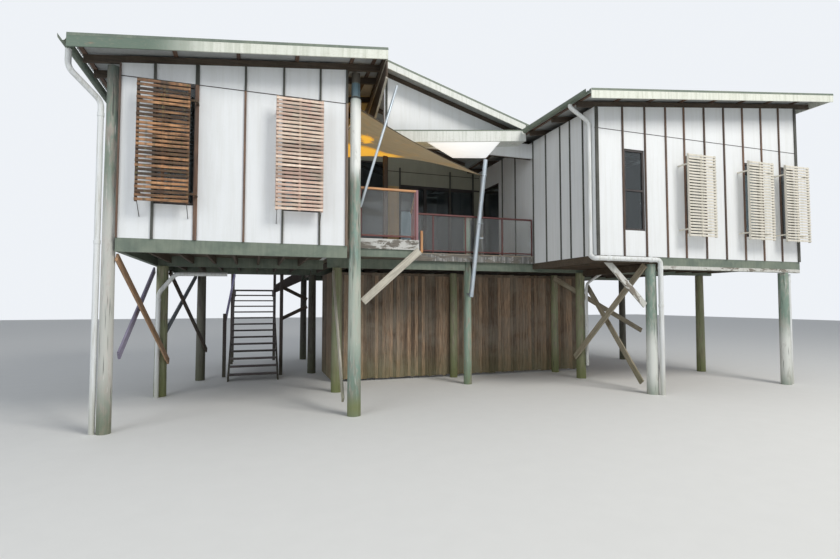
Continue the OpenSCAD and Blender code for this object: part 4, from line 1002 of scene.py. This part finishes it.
# ------------------------------------------------------------ slat screens
def screen(x0, x1, z0, z1, back, slat=0.066, reach=0.0):
    """Slats carried along X, one above another, on three uprights, with stand-off brackets to
    the wall. reach sets the right brackets further out, with an arm across to them."""
    out = [board((x, back + 0.02, z0), (x, back + 0.02, z1), 0.038, 0.038, ALONG_X, tone=0.2)
           for x in (x0 + 0.02, (x0 + x1) / 2, x1 - 0.02)]
    for z in z0 + 0.031 + slat * np.arange(round((z1 - 0.05 - z0) / slat) + 1):
        if z > z1 - 0.015:
            break
        ends = [(x + inward * rng.uniform(0, 0.008), back - 0.0085 + rng.uniform(-0.002, 0.002),
                 z + rng.uniform(-0.003, 0.003)) for x, inward in ((x0, 1), (x1, -1))]
        out.append(board(*ends, 0.042, 0.017, UP, 0.003, rng.uniform(-0.002, 0.002), 5,
                         rng.random()))
    for x in (x0 + 0.02, x1 + reach - 0.02):
        for z in (z0 + 0.17, z1 - 0.23):
            out.append(board((x, back + 0.042, z), (x, FRONT - 0.001, z), 0.038, 0.03, ALONG_X,
                             tone=0.1))
            if reach and x > x1:
                out.append(board((x1 - 0.04, back + 0.06, z), (x + 0.018, back + 0.06, z), 0.034,
                                 0.034, UP, tone=0.1))
    return out


def stays(x0, x1, z0, back):
    """Thin steel stays sloping from a screen's lower corners to the wall."""
    return [tube([(x, back + 0.03, z0 + 0.02), (x, FRONT - 0.004, z0 - 0.20)], 0.006, 6)
            for x in (x0 + 0.03, x1 - 0.03)]


left_back, white_back = FRONT - 0.24, FRONT - 0.29
left_slats = screen(-3.44, -2.685, 3.54, 5.44, left_back, reach=0.11)
right_slats = screen(-1.38, -0.595, 3.53, 5.45, left_back)
white_slats = [one for x0, x1 in ((7.35, 8.15), (9.15, 9.95), (10.34, 11.14))
               for one in screen(x0, x1, 3.45, 5.30, white_back)]
piece("left_screen_slats", left_slats, "brown_slats", ["left_screen"])
piece("right_screen_slats", right_slats, "pale_slats", ["right_screen"])
piece("white_screen_slats", white_slats, "white_slats", ["white_screens"])
piece("screen_stays", stays(-3.44, -2.685, 3.54, left_back) + stays(-1.38, -0.595, 3.53, left_back),
      "dark_frame")


# ------------------------------------------------------------ roofs
def slope_edges(x0, x1, y, top, lift):
    """Edge curves of a roof surface that is lift above the slope top, from x0 to x1 at each y."""
    x1 = x1(y) if callable(x1) else x1
    return [np.stack(np.broadcast_arrays(x, y, top(x) + lift), -1) for x in (x0, x1)]


def corrugated(x0, x1, y0, y1, top, build=BUILD):
    """Height = pitch line + sine wave across Y, 76 mm from crest to crest, made 1.5 mm thick by
    a second skin."""
    y = np.arange(y0, y1, 0.0127)
    wave = 0.0085 * np.sin(2 * np.pi * y / 0.0762) + 0.0095
    return ruled(*slope_edges(x0, x1, y, top, build + wave), (0, 0, 0.0015))


def purlin(x, y1, top):
    """Purlin 60 mm wide with its left side at x, between the rafters and the sheets."""
    ends = [(x + 0.03, y, top(x + 0.03) + (RAFTER + BUILD) / 2) for y in (ROOF_FRONT + 0.03, y1)]
    return board(*ends, 0.06, BUILD - RAFTER - 0.007, ALONG_X, 0.003)


# Left and right edges of the two wings' sheets.
lr0, lr1, rr0, rr1 = LEFT_X0 - 0.56, LEFT_X1 + 0.56, RIGHT_X0 - 0.46, RIGHT_X1 + 0.56
link_back = LEFT_BACK + 0.43


def flared(y):
    """Right edge of the left wing's sheets: beside the flared verge in front, straight behind."""
    return np.where(y < FLARE_END, verge_x(y) - 0.027, lr1)


def flared_lining(y):
    """Right edge of the lining under those sheets."""
    return flared(y) - 0.003


sheets = {
    "left": [corrugated(lr0, flared, ROOF_FRONT, LEFT_BACK + OVERHANG, left_top)],
    "right": [corrugated(rr0, rr1, ROOF_FRONT, BACK + OVERHANG, right_top)],
    "main": [corrugated(CLERE_X - 0.028, 4.86, DECK_FRONT - 0.43, BACK + OVERHANG, main_top,
                        0.142)],
    "link": [corrugated(0.47, 1.095, 5.2, link_back - 0.002, left_top),
             corrugated(-0.4, 1.095, link_back, BACK + OVERHANG, left_top)],
}
for roof, shapes in sheets.items():
    piece(f"{roof}_roof_sheet", shapes, "roof_sheet", [f"{roof}_roof"])
inside_back = OVERHANG - 0.02
purlins = [purlin(x, LEFT_BACK + inside_back, left_top)
           for x in (lr0 + 0.05, -2.97, -2.02, -1.07, -0.12, 0.28)]
purlins += [purlin(x, BACK + inside_back, right_top)
            for x in np.arange(rr0 + 0.12, rr1 - 0.06, 0.9)]
piece("roof_purlins", purlins, "batten")
linings = []
for x0, x1, top, y1 in ((lr0 + 0.02, flared_lining, left_top, LEFT_BACK + inside_back),
                        (rr0 + 0.02, rr1 - 0.02, right_top, BACK + inside_back)):
    y = np.sort(np.append(np.linspace(ROOF_FRONT + 0.01, y1, 12), [2.298, 2.302]))
    linings.append(ruled(*slope_edges(x0, x1, y, top, BUILD - 0.006), (0, 0, 0.004)))
y = np.linspace(DECK_FRONT - 0.42, BACK + inside_back, 12)
linings.append(ruled(*slope_edges(CLERE_X - 0.02, 4.6, y, main_top, 0.123), (0, 0, 0.006)))
piece("roof_linings", linings, "lining")


def flashing(a, b, inward, width=0.07, tall=0.045):
    """Flashing from a to b; inward is the level direction from the edge towards the roof."""
    t = 0.0015
    profile = [(width, 0), (width, -t), (t, -t), (t, -tall), (0, -tall), (0, 0)]
    a, b, inward = (np.asarray(p, float) for p in (a, b, inward))
    if np.cross(unit(b - a), inward)[2] < 0:
        a, b = b, a
    return carried(profile, [a, b], inward, tone=rng.random())


def front_cap(x0, x1, y, top, lift, *size):
    """Flashing along a roof's front edge, lift above its slope."""
    return flashing((x0, y, top(x0) + lift), (x1, y, top(x1) + lift), ALONG_Y, *size)


def side_cap(x, z, y0, y1, inward):
    """Flashing along a straight side of a roof."""
    return flashing((x, y0, z), (x, y1, z), (inward, 0, 0))


over, over_main, cap_front = BUILD + SHEET + 0.002, 0.164, ROOF_FRONT - 0.028
verge_ends = [(verge_x(y) + 0.002, y, left_top(verge_x(y)) + over) for y in (-0.64, FLARE_END)]
caps = [
    front_cap(lr0, lr1 + 0.04, cap_front, left_top, over),
    flashing(*verge_ends, TO_LEFT),
    side_cap(lr1 + 0.027, left_top(lr1) + over, 2.305, LEFT_BACK + 0.42, -1),
    front_cap(rr0, rr1 + 0.026, cap_front, right_top, over),
    side_cap(rr1 + 0.027, right_top(rr1) + over, ROOF_FRONT - 0.02, BACK + 0.42, -1),
    front_cap(1.106, 4.85, DECK_FRONT - 0.458, main_top, over_main),
    side_cap(1.105, main_top(1.132) + over_main, DECK_FRONT - 0.45, BACK + OVERHANG, 1),
    front_cap(1.18, 4.65, DECK_FRONT - 0.452, hood_top, 0.002, 0.45, 0.03),
]
piece("roof_flashings", caps, "green_steel", smooth=20)


# ------------------------------------------------------------ deck
def deck_edge(y):
    """Right end of the deck boards at y: the walkway's diagonal, then the right wing's wall."""
    if y < DECK_FRONT + 0.02:
        return float(np.interp(y, [STRIP_FRONT + 0.03, DECK_FRONT],
                               [STRIP_END - 0.03, DECK_LEFT - 0.03]))
    return RIGHT_X0 - 0.004


boards = []
for y in np.arange(0.19, DOOR_WALL - 0.04, 0.0945):
    spans = [(LEFT_X1 + 0.004, deck_edge(y))]
    if abs(y - 2.53) < 0.155:  # beside the deck's pole
        spans = [(LEFT_X1 + 0.004, 3.225), (3.455, RIGHT_X0 - 0.004)]
    for x0, x1 in spans:
        cut = x0 + (x1 - x0) * rng.uniform(0.35, 0.65)
        for a, b in ([(x0, cut - 0.002), (cut + 0.002, x1)] if x1 - x0 > 2.5 else [(x0, x1)]):
            boards.append(board((a, y, DECK - 0.0115), (b, y, DECK - 0.0115), 0.09, 0.021,
                                ALONG_Y, 0.003))
piece("deck_boards", boards, "deck_timber", ["deck_floor"])


def posts_and_rails(a, b, shares):
    """Top rail, then a low rail and upright bars at the given shares of the line from a to b."""
    a, b = np.array([*a, 0.0]), np.array([*b, 0.0])
    side = np.cross(unit(b - a), UP)

    def at(share, z):
        return a + (b - a) * share + (0, 0, z)

    top = [board(at(0, RAIL - 0.025), at(1, RAIL - 0.025), 0.06, 0.04, side, 0.006, tone=0.8)]
    bars = [board(at(0, DECK + 0.06), at(1, DECK + 0.06), 0.03, 0.03, side, 0.003, tone=0.3)]
    bars += [board(at(t, DECK + 0.003), at(t, RAIL - 0.045), 0.03, 0.03, side, 0.003, tone=0.4)
             for t in shares]
    return top, bars


walk_top, walk_bars = posts_and_rails((0.15, 0.135), (1.21, 0.135), (0, 1))
turn_top, turn_bars = posts_and_rails((1.25, 0.20), (1.82, 2.31), (0, 0.25, 0.5, 0.75, 1))
deck_posts = np.array([1.90, 2.38, 3.23, 4.23, 5.08])
deck_top, deck_bars = posts_and_rails((1.90, 2.378), (5.08, 2.378), (deck_posts - 1.90) / 3.18)
corner = board((1.225, 0.145, DECK + 0.002), (1.225, 0.145, RAIL + 0.005), 0.08, 0.04, ALONG_X,
               0.005, tone=0.5)
short_post = board((2.07, 2.313, DECK + 0.004), (2.07, 2.313, 3.70), 0.06, 0.03, ALONG_X, 0.004,
                   tone=0.9)
piece("walkway_top_rails", walk_top + turn_top, "rail_timber",
      ["walkway_rail"])
piece("walkway_rail_bars", walk_bars + turn_bars, "rail_steel")
piece("walkway_corner_post", [corner], "mauve_post")
piece("deck_rail_bars", deck_top + deck_bars, "rail_steel", ["deck_rail"])
piece("short_orange_post", [short_post], "rail_timber")


# ------------------------------------------------------------ gutters and pipes
def gutter(right, y1, z):
    """Half-round channel along Y, 114 mm wide and 2 to 3 mm thick, its right lip at right."""
    w, a = 0.057, np.linspace(0, np.pi, 13)
    outer = np.stack([-w * np.cos(a), -0.095 * np.sin(a) ** 0.6], -1)
    inner = np.stack([-(w - 0.002) * np.cos(a), -0.092 * np.sin(a) ** 0.6], -1)[::-1]
    path = [(right - w, y, z) for y in (ROOF_FRONT, y1)]
    return carried(np.concatenate([outer, inner]), path, TO_LEFT)


lz, rz = left_top(lr0) + BUILD, right_top(rr0) + BUILD
gutters = [gutter(lr0 - 0.004, LEFT_BACK + OVERHANG, lz), gutter(rr0 - 0.004, 1.86, rz)]
for x, z, y1 in ((lr0, lz, 6.2), (rr0, rz, 1.8)):
    gutters += [board((x - 0.12, y, z - 0.004), (x - 0.001, y, z - 0.004), 0.02, 0.003,
                      ALONG_Y, 0.0005) for y in np.arange(ROOF_FRONT + 0.25, y1, 0.9)]
piece("gutter_channels", gutters, "green_steel", ["gutters"], smooth=40)


def pipe_collar(at, axis, r, long=0.06):
    """Socket 6 mm thick round a pipe of radius r."""
    outline = [(r, 0), (r + 0.006, 0.002), (r + 0.006, long), (r, long + 0.002)]
    return turned(at, axis, outline, 20)


THIN, PIPE, LEFT_PIPE, WIDE = 0.035, 0.045, 0.043, 0.0525
pipes = [
    tube(bent([(-4.35, -0.345, lz - 0.09), (-4.35, -0.345, 5.48), (-4.0, 0, 5.14),
               (-4.0, 0, 0.0)], 0.09), LEFT_PIPE),
    tube(bent([(rr0 - 0.06, -0.01, rz - 0.09), (rr0 - 0.06, -0.01, rz - 0.15),
               (5.06, -0.01, 5.86), (5.06, -0.01, 2.99)], 0.09), PIPE),
    tube(bent([(5.06, -0.01, 3.0), (5.06, -0.10, 2.93), (5.10, -0.18, 2.93),
               (6.745, -0.18, 2.93), (6.745, -0.18, 0.0)], 0.10), WIDE, 20),
    tube(bent([(7.35, 1.50, 2.79), (6.96, 1.99, 2.79), (6.90, 2.19, 2.67), (6.70, 2.28, 2.52),
               (6.665, 2.285, 2.40), (6.665, 2.285, 0.35)], 0.12), THIN),
    tube(bent([(-2.25, 2.915, 2.62), (-3.28, 2.915, 2.61), (-3.6, 2.915, 2.2),
               (-3.6, 2.915, 0.0)], 0.09), PIPE),
    tube(bent([(10.91, 0, 2.70), (10.91, 0, 1.2), (10.91, 0, 0.0)], 0.05), PIPE),
]
pipes += [pipe_collar(at, UP, r)
          for at, r in (((6.745, -0.18, 2.72), WIDE), ((6.745, -0.18, 1.9), WIDE),
                        ((5.06, -0.01, 5.78), PIPE), ((-4.0, 0, 4.9), LEFT_PIPE),
                        ((-4.0, 0, 2.9), LEFT_PIPE), ((6.665, 2.285, 2.3), THIN),
                        ((6.665, 2.285, 0.42), THIN), ((-3.6, 2.915, 2.02), PIPE),
                        ((10.91, 0, 2.5), PIPE))]
pipes += [pipe_collar((x, -0.18, 2.93), ALONG_X, WIDE, 0.07) for x in (5.35, 6.45)]
piece("downpipe_runs", pipes, "plastic_pipe", ["downpipes"], smooth=45)


# ------------------------------------------------------------ braces and struts
def plank(a, b, horizontal, deep, tone, wide=0.038):
    """Sawn plank from a to b, wide across the horizontal axis given, deep in the plane of the
    slope."""
    return board(a, b, wide, deep, horizontal, 0.006, rng.uniform(-0.004, 0.004), 9, tone)


# Pale strip along the lower part of the right wing's front beam, 6 mm proud of it.
beam_strip = board((6.86, FRONT + 0.0065, 2.775), (11.15, FRONT + 0.0065, 2.775), 0.078, 0.006, UP,
                   0.001)
piece("right_beam_pale_strip", [beam_strip], "strut_paint")
brace_sets = [
    ("pale_braces", "pale_timber",
     [((0.182, 0.045, 2.014), (1.257, 0.045, 2.976), ALONG_Y, 0.138, 1.0, 0.058),
      ((-0.02, 2.30, 2.68), (-0.157, 0.10, 0.265), ALONG_X, 0.138, 0.8)]),
    ("peeling_strut", "strut_paint",
     [((5.458, 0, 2.91), (6.472, 0, 1.937), ALONG_Y, 0.138, 0.9)]),
    ("olive_braces", "olive_brace",
     [((6.49, 0, 2.83), (6.42, 2.48, 0.556), ALONG_X, 0.148, 0.6),
      ((6.785, 2.40, 2.43), (6.79, 0.49, 0.165), ALONG_X, 0.148, 0.4),
      ((6.49, 3.54, 2.70), (9.58, 3.54, 1.15), ALONG_Y, 0.138, 0.3)]),
    ("orange_brace", "orange_brace",
     [((-3.715, -0.04, 2.704), (-3.405, 3.06, 0.745), ALONG_X, 0.138, 0.6)]),
    ("lavender_brace", "lavender_brace",
     [((-3.712, 3.05, 2.69), (-3.73, 0.30, 1.15), ALONG_X, 0.138, 0.6)]),
    ("blue_grey_brace", "blue_brace",
     [((-3.104, 5.215, 2.688), (-3.50, 3.26, 1.36), ALONG_X, 0.138, 0.6)]),
    ("dark_braces", "brown_brace",
     [((-3.425, 3.15, 2.666), (-2.826, 5.20, 0.77), ALONG_X, 0.138, 0.4),
      ((-0.93, 5.70, 2.433), (-0.24, 5.70, 2.085), ALONG_Y, 0.098, 0.3),
      ((-0.93, 5.70, 1.551), (-0.24, 5.70, 1.887), ALONG_Y, 0.098, 0.5)]),
]
for name, look, planks in brace_sets:
    piece(name, [plank(*one) for one in planks], look,
          ["braces"] if name == "pale_braces" else ())

slant = math.atan(FLARE)
verge_run = np.array([math.sin(slant), math.cos(slant), 0])
verge_out = np.array([math.cos(slant), -math.sin(slant), 0])


def on_verge(along, inward, z):
    """Points below the left roof's verge: along it, in from its outer face, at heights z."""
    along, z = np.broadcast_arrays(np.asarray(along, float), z)
    start = np.array([verge_x(ROOF_FRONT), ROOF_FRONT, 0])
    points = start + along[..., None] * verge_run - verge_out * inward
    points[..., 2] = z
    return points


ends, foot_ends, verge_head = (0.008, 2.938), (5.90, 5.58), 6.215
stations = np.linspace(*ends, 24)
feet = np.interp(stations, ends, foot_ends)
verge_plank = ruled(on_verge(stations, 0.024, feet), on_verge(stations, 0.024, verge_head),
                    verge_out * 0.023)
foot_rail = [on_verge(a, 0.018, z + 0.0065) for a, z in zip(ends, foot_ends)]
head_rail = [on_verge(a, 0.018, verge_head) for a in ends]
verge_rails = [board(*foot_rail, 0.036, 0.034, verge_out, 0.003, tone=0.9),
               board(*head_rail, 0.036, 0.030, verge_out, 0.003, tone=0.7)]
piece("verge_plank", [verge_plank], "brown_brace", ["verge_board"])
piece("verge_rails", verge_rails, "pale_timber")


# ------------------------------------------------------------ palings
palings = []
x = 0.2
while x < 7.42:
    wide, top = rng.uniform(0.094, 0.102), 2.78 - rng.uniform(0, 0.02)
    foot = 0.04 + rng.uniform(0, 0.03)
    palings.append(board((x + wide / 2, 3.815, foot), (x + wide / 2, 3.815, top),
                         wide - rng.uniform(0.002, 0.005), 0.018, ALONG_X, 0.002))
    x += wide
y = 3.85
while y < 5.56:
    palings.append(board((0.187, y + 0.048, 0.05), (0.187, y + 0.048, 2.77), 0.086, 0.018,
                         ALONG_Y, 0.002))
    y += 0.098
palings.append(board((0.2, 3.812, 2.735), (7.44, 3.812, 2.735), 0.07, 0.02, UP, 0.003, tone=0.2))
piece("paling_boards", palings, "paling_timber", ["paling_screen"])

# ------------------------------------------------------------ stair
RISE, GOING, TREAD_SINK = 0.173, 0.28, 0.02
treads = []
for i in range(1, 15):  # the flight, and the landing in seven boards
    deep, rows = (0.25, 2) if i < 14 else (0.898, 7)
    for r in range(rows):
        y, z = 4.76 + (i - 1) * GOING + deep / rows * (r + 0.5), i * RISE - TREAD_SINK
        treads.append(board((-2.258, y, z), (-1.082, y, z), deep / rows - 0.006, 0.038, ALONG_Y,
                            0.006))
for i in range(1, 4):  # the three steps from the landing to the door
    deep = 0.25 if i < 3 else 0.32
    for r in range(2):
        x, z = -1.038 + (i - 1) * GOING + deep / 2 * (r + 0.5), 14 * RISE + i * RISE - TREAD_SINK
        treads.append(board((x, 8.444, z), (x, 9.256, z), deep / 2 - 0.006, 0.038, ALONG_X, 0.006))
piece("stair_tread_boards", treads, "tread", ["stair_treads"])

# ------------------------------------------------------------ mast and thin pole
MAST_AXIS = (0.12, 0, 1)
mast = [
    tube([(3.30, 2.22, 2.13), (3.3005, 2.22, 2.134), (3.7095, 2.22, 5.526), (3.71, 2.22, 5.53)],
         [0.05, 0.055, 0.055, 0.05], 28),
    # brackets to the deck's pole and railing, and the cleat's arm
    board((3.31, 2.25, 2.205), (3.31, 2.425, 2.205), 0.07, 0.048, ALONG_X, 0.003),
    board((3.42, 2.26, 3.09), (3.42, 2.328, 3.09), 0.075, 0.038, ALONG_X, 0.003),
    board((3.45, 2.22, 3.575), (3.63, 2.22, 3.575), 0.036, 0.028, ALONG_Y, 0.003),
    # rope, cleat and ring
    tube(bent([(3.668, 2.155, 5.10), (3.655, 2.15, 4.9), (3.57, 2.155, 4.3), (3.552, 2.16, 4.02)],
              0.2), 0.006, 6),
    board((3.43, 2.155, 3.93), (3.60, 2.155, 3.93), 0.022, 0.022, ALONG_Y, 0.004),
    turned((3.664, 2.22, 5.14), MAST_AXIS,
           [(0.055, -0.03), (0.066, -0.02), (0.066, 0.02), (0.055, 0.03)], 28),
]
for z in (2.205, 3.09, 3.575, 5.3):  # bands round the mast
    x = 3.30 + 0.41 * (z - 2.13) / 3.4
    mast.append(turned((x - 0.0035, 2.22, z - 0.02), MAST_AXIS,
                       [(0.055, 0), (0.0585, 0.002), (0.0585, 0.038), (0.055, 0.04)], 28))
thin_pole = tube([(0.13, 0.062, 3.74), (0.132, 0.062, 3.745), (0.816, 0.062, 6.083),
                  (0.818, 0.062, 6.088)], [0.02, 0.025, 0.025, 0.02])
piece("mast_tube", mast, "galvanised", ["mast"], smooth=45)
piece("thin_pole_tube", [thin_pole], "galvanised", ["thin_pole"], smooth=45)


# ------------------------------------------------------------ shade sails
def shares_grid(rows, cols):
    """Two parameters from 0 to 1 on a grid, the first along its rows."""
    return np.meshgrid(np.linspace(0, 1, rows), np.linspace(0, 1, cols), indexing="ij")


def sail_surface(a, b, c, sags, rises, dip):
    """Triangle in two parameters: u runs from corner a to the far edge b-c, v across it. Each
    edge is drawn in by a parabola times its sag and lifted by one times its rise, and the
    middle dips by the product of the shares."""
    u, v = shares_grid(36, 36)
    sa, sb, sc = 1 - u, u * (1 - v), u * v
    a, b, c = (np.asarray(p, float) for p in (a, b, c))
    mid = (a + b + c) / 3
    p = sa[..., None] * a + sb[..., None] * b + sc[..., None] * c
    for share, sag, rise in zip((4 * sa * sb, 4 * sb * sc, 4 * sc * sa), sags, rises):
        near = share * np.clip(1 - 3 * np.minimum(np.minimum(sa, sb), sc), 0, 1) ** 1.2
        p = p + (mid - p) * (near * sag)[..., None] + near[..., None] * (0, 0, rise)
    p[..., 2] += dip * 27 * sa * sb * sc
    return p


def sheet_piece(name, p, look, replaces):
    """Sheet through a grid of points, closed by a second skin 2 mm below it, with UV in metres
    along its rows."""
    rows, cols = p.shape[:2]
    n = rows * cols
    both = np.stack([p, p - (0, 0, 0.002)])
    upper = grid_faces(rows, cols, closed=False)
    rim = np.concatenate([np.arange(cols), np.arange(1, rows) * cols + cols - 1,
                          np.arange(cols - 2, -1, -1) + (rows - 1) * cols,
                          np.arange(rows - 2, 0, -1) * cols])
    ahead = np.roll(rim, -1)
    walls = np.stack([rim, rim + n, ahead + n, ahead], -1)
    faces = np.concatenate([upper, upper[:, ::-1] + n, walls]).tolist()
    uv = np.stack(shares_grid(rows, cols), -1) * (3, 2.5)
    return piece(name, [shape(both, faces, np.stack([uv, uv]))], look, replaces, smooth=60)


def weld(obj):
    """Merges the doubled points at a sail's corner."""
    bm = bmesh.new()
    bm.from_mesh(obj.data)
    bmesh.ops.remove_doubles(bm, verts=bm.verts, dist=0.0005)
    bmesh.ops.recalc_face_normals(bm, faces=bm.faces)
    bm.to_mesh(obj.data)
    bm.free()


def grid_area(p):
    """Area of a grid of points: the two triangles of every cell."""
    a, b, c, d = p[:-1, :-1], p[1:, :-1], p[1:, 1:], p[:-1, 1:]
    halves = (np.linalg.norm(np.cross(q - a, r - a), axis=-1).sum() for q, r in ((b, c), (c, d)))
    return float(0.5 * sum(halves))


tan_points = sail_surface((3.597, 2.20, 5.124), (0.145, 0.13, 5.574), (-0.118, 3.60, 5.569),
                          (0.13, 0.05, 0.3), (0, 0, 0.17), -0.01)
tan_sail = sheet_piece("tan_sail_cloth", tan_points, "tan_cloth", ["tan_sail"])
weld(tan_sail)
tan_rim = [tube(edge - (0, 0, 0.001), 0.007, 8)
           for edge in (tan_points[:, 0], tan_points[-1, :], tan_points[:, -1])]
tan_hem = piece("tan_sail_hem", tan_rim, "hem_cloth", smooth=60)
grid_area(tan_points)

u, v = shares_grid(20, 44)
back_left, front_left, front_right, back_right = np.array(
    [(2.07, 1.90, 5.701), (2.86, 2.29, 5.522), (3.75, 2.29, 5.597), (3.944, 1.90, 5.907)])
back_edge = back_left + (back_right - back_left) * v[..., None]
front_edge = front_left + (front_right - front_left) * v[..., None]
white_points = back_edge + (front_edge - back_edge) * u[..., None]
white_points[..., 2] -= 0.03 * np.sin(np.pi * v) * np.sin(np.pi * u)
white_sail = sheet_piece("white_sail_cloth", white_points, "white_cloth",
                         ["white_sail"])
grid_area(white_points)

# ------------------------------------------------------------ floor, light and camera
scene = bpy.context.scene
floor_mesh = bpy.data.meshes.new("pale_floor")
half = 60.0
floor_mesh.from_pydata([(-half, -half, 0), (half, -half, 0), (half, half, 0), (-half, half, 0)],
                       [], [(0, 1, 2, 3)])
floor = bpy.data.objects.new("pale_floor", floor_mesh)
scene.collection.objects.link(floor)
floor_look, w, shader, coords = start_material("pale_floor_paint")
w.give(shader, Base_Color=w.mix(w.noise(coords, 3.0), (0.72, 0.72, 0.70), (0.76, 0.76, 0.74)))
shader["Roughness"].default_value = 0.9
floor_mesh.materials.append(floor_look)


def lamp(name, at, towards, size, power, colour):
    """Square area lamp, its face turned towards a point."""
    data = bpy.data.lights.new(name, "AREA")
    data.size, data.energy, data.color = size, power, colour
    obj = bpy.data.objects.new(name, data)
    scene.collection.objects.link(obj)
    obj.location = at
    obj.rotation_euler = (Vector(towards) - Vector(at)).to_track_quat("-Z", "Y").to_euler()


lamp("key_softbox", (11.0, -16.0, 19.0), (3.0, 2.0, 3.0), 9.0, 3900, (1.0, 0.97, 0.92))
lamp("fill_softbox", (-14.0, -12.0, 9.0), (2.0, 2.0, 3.0), 10.0, 1000, (0.92, 0.96, 1.0))
world = bpy.data.worlds.new("studio")
scene.world = world
world.use_nodes = True
w = Wires(world.node_tree)
ray = w.node("ShaderNodeLightPath").outputs
seen = w.math("MAXIMUM", ray["Is Camera Ray"],
              w.math("MAXIMUM", ray["Is Glossy Ray"], ray["Is Transmission Ray"]))
w.give(world.node_tree.nodes["Background"].inputs, Strength=w.blend(seen, 0.58, 1.0),
       Color=w.mix(seen, (0.62, 0.66, 0.72), (0.86, 0.89, 0.93)))

camera_data = bpy.data.cameras.new("photo_camera")
camera_data.sensor_width, camera_data.lens = 36.0, 21.386
camera = bpy.data.objects.new("photo_camera", camera_data)
scene.collection.objects.link(camera)
camera.location = (-1.70, -8.85, 2.0)
camera.rotation_euler = (math.radians(92.64), 0, math.radians(-18.47))
scene.camera = camera
scene.view_settings.view_transform = "Standard"
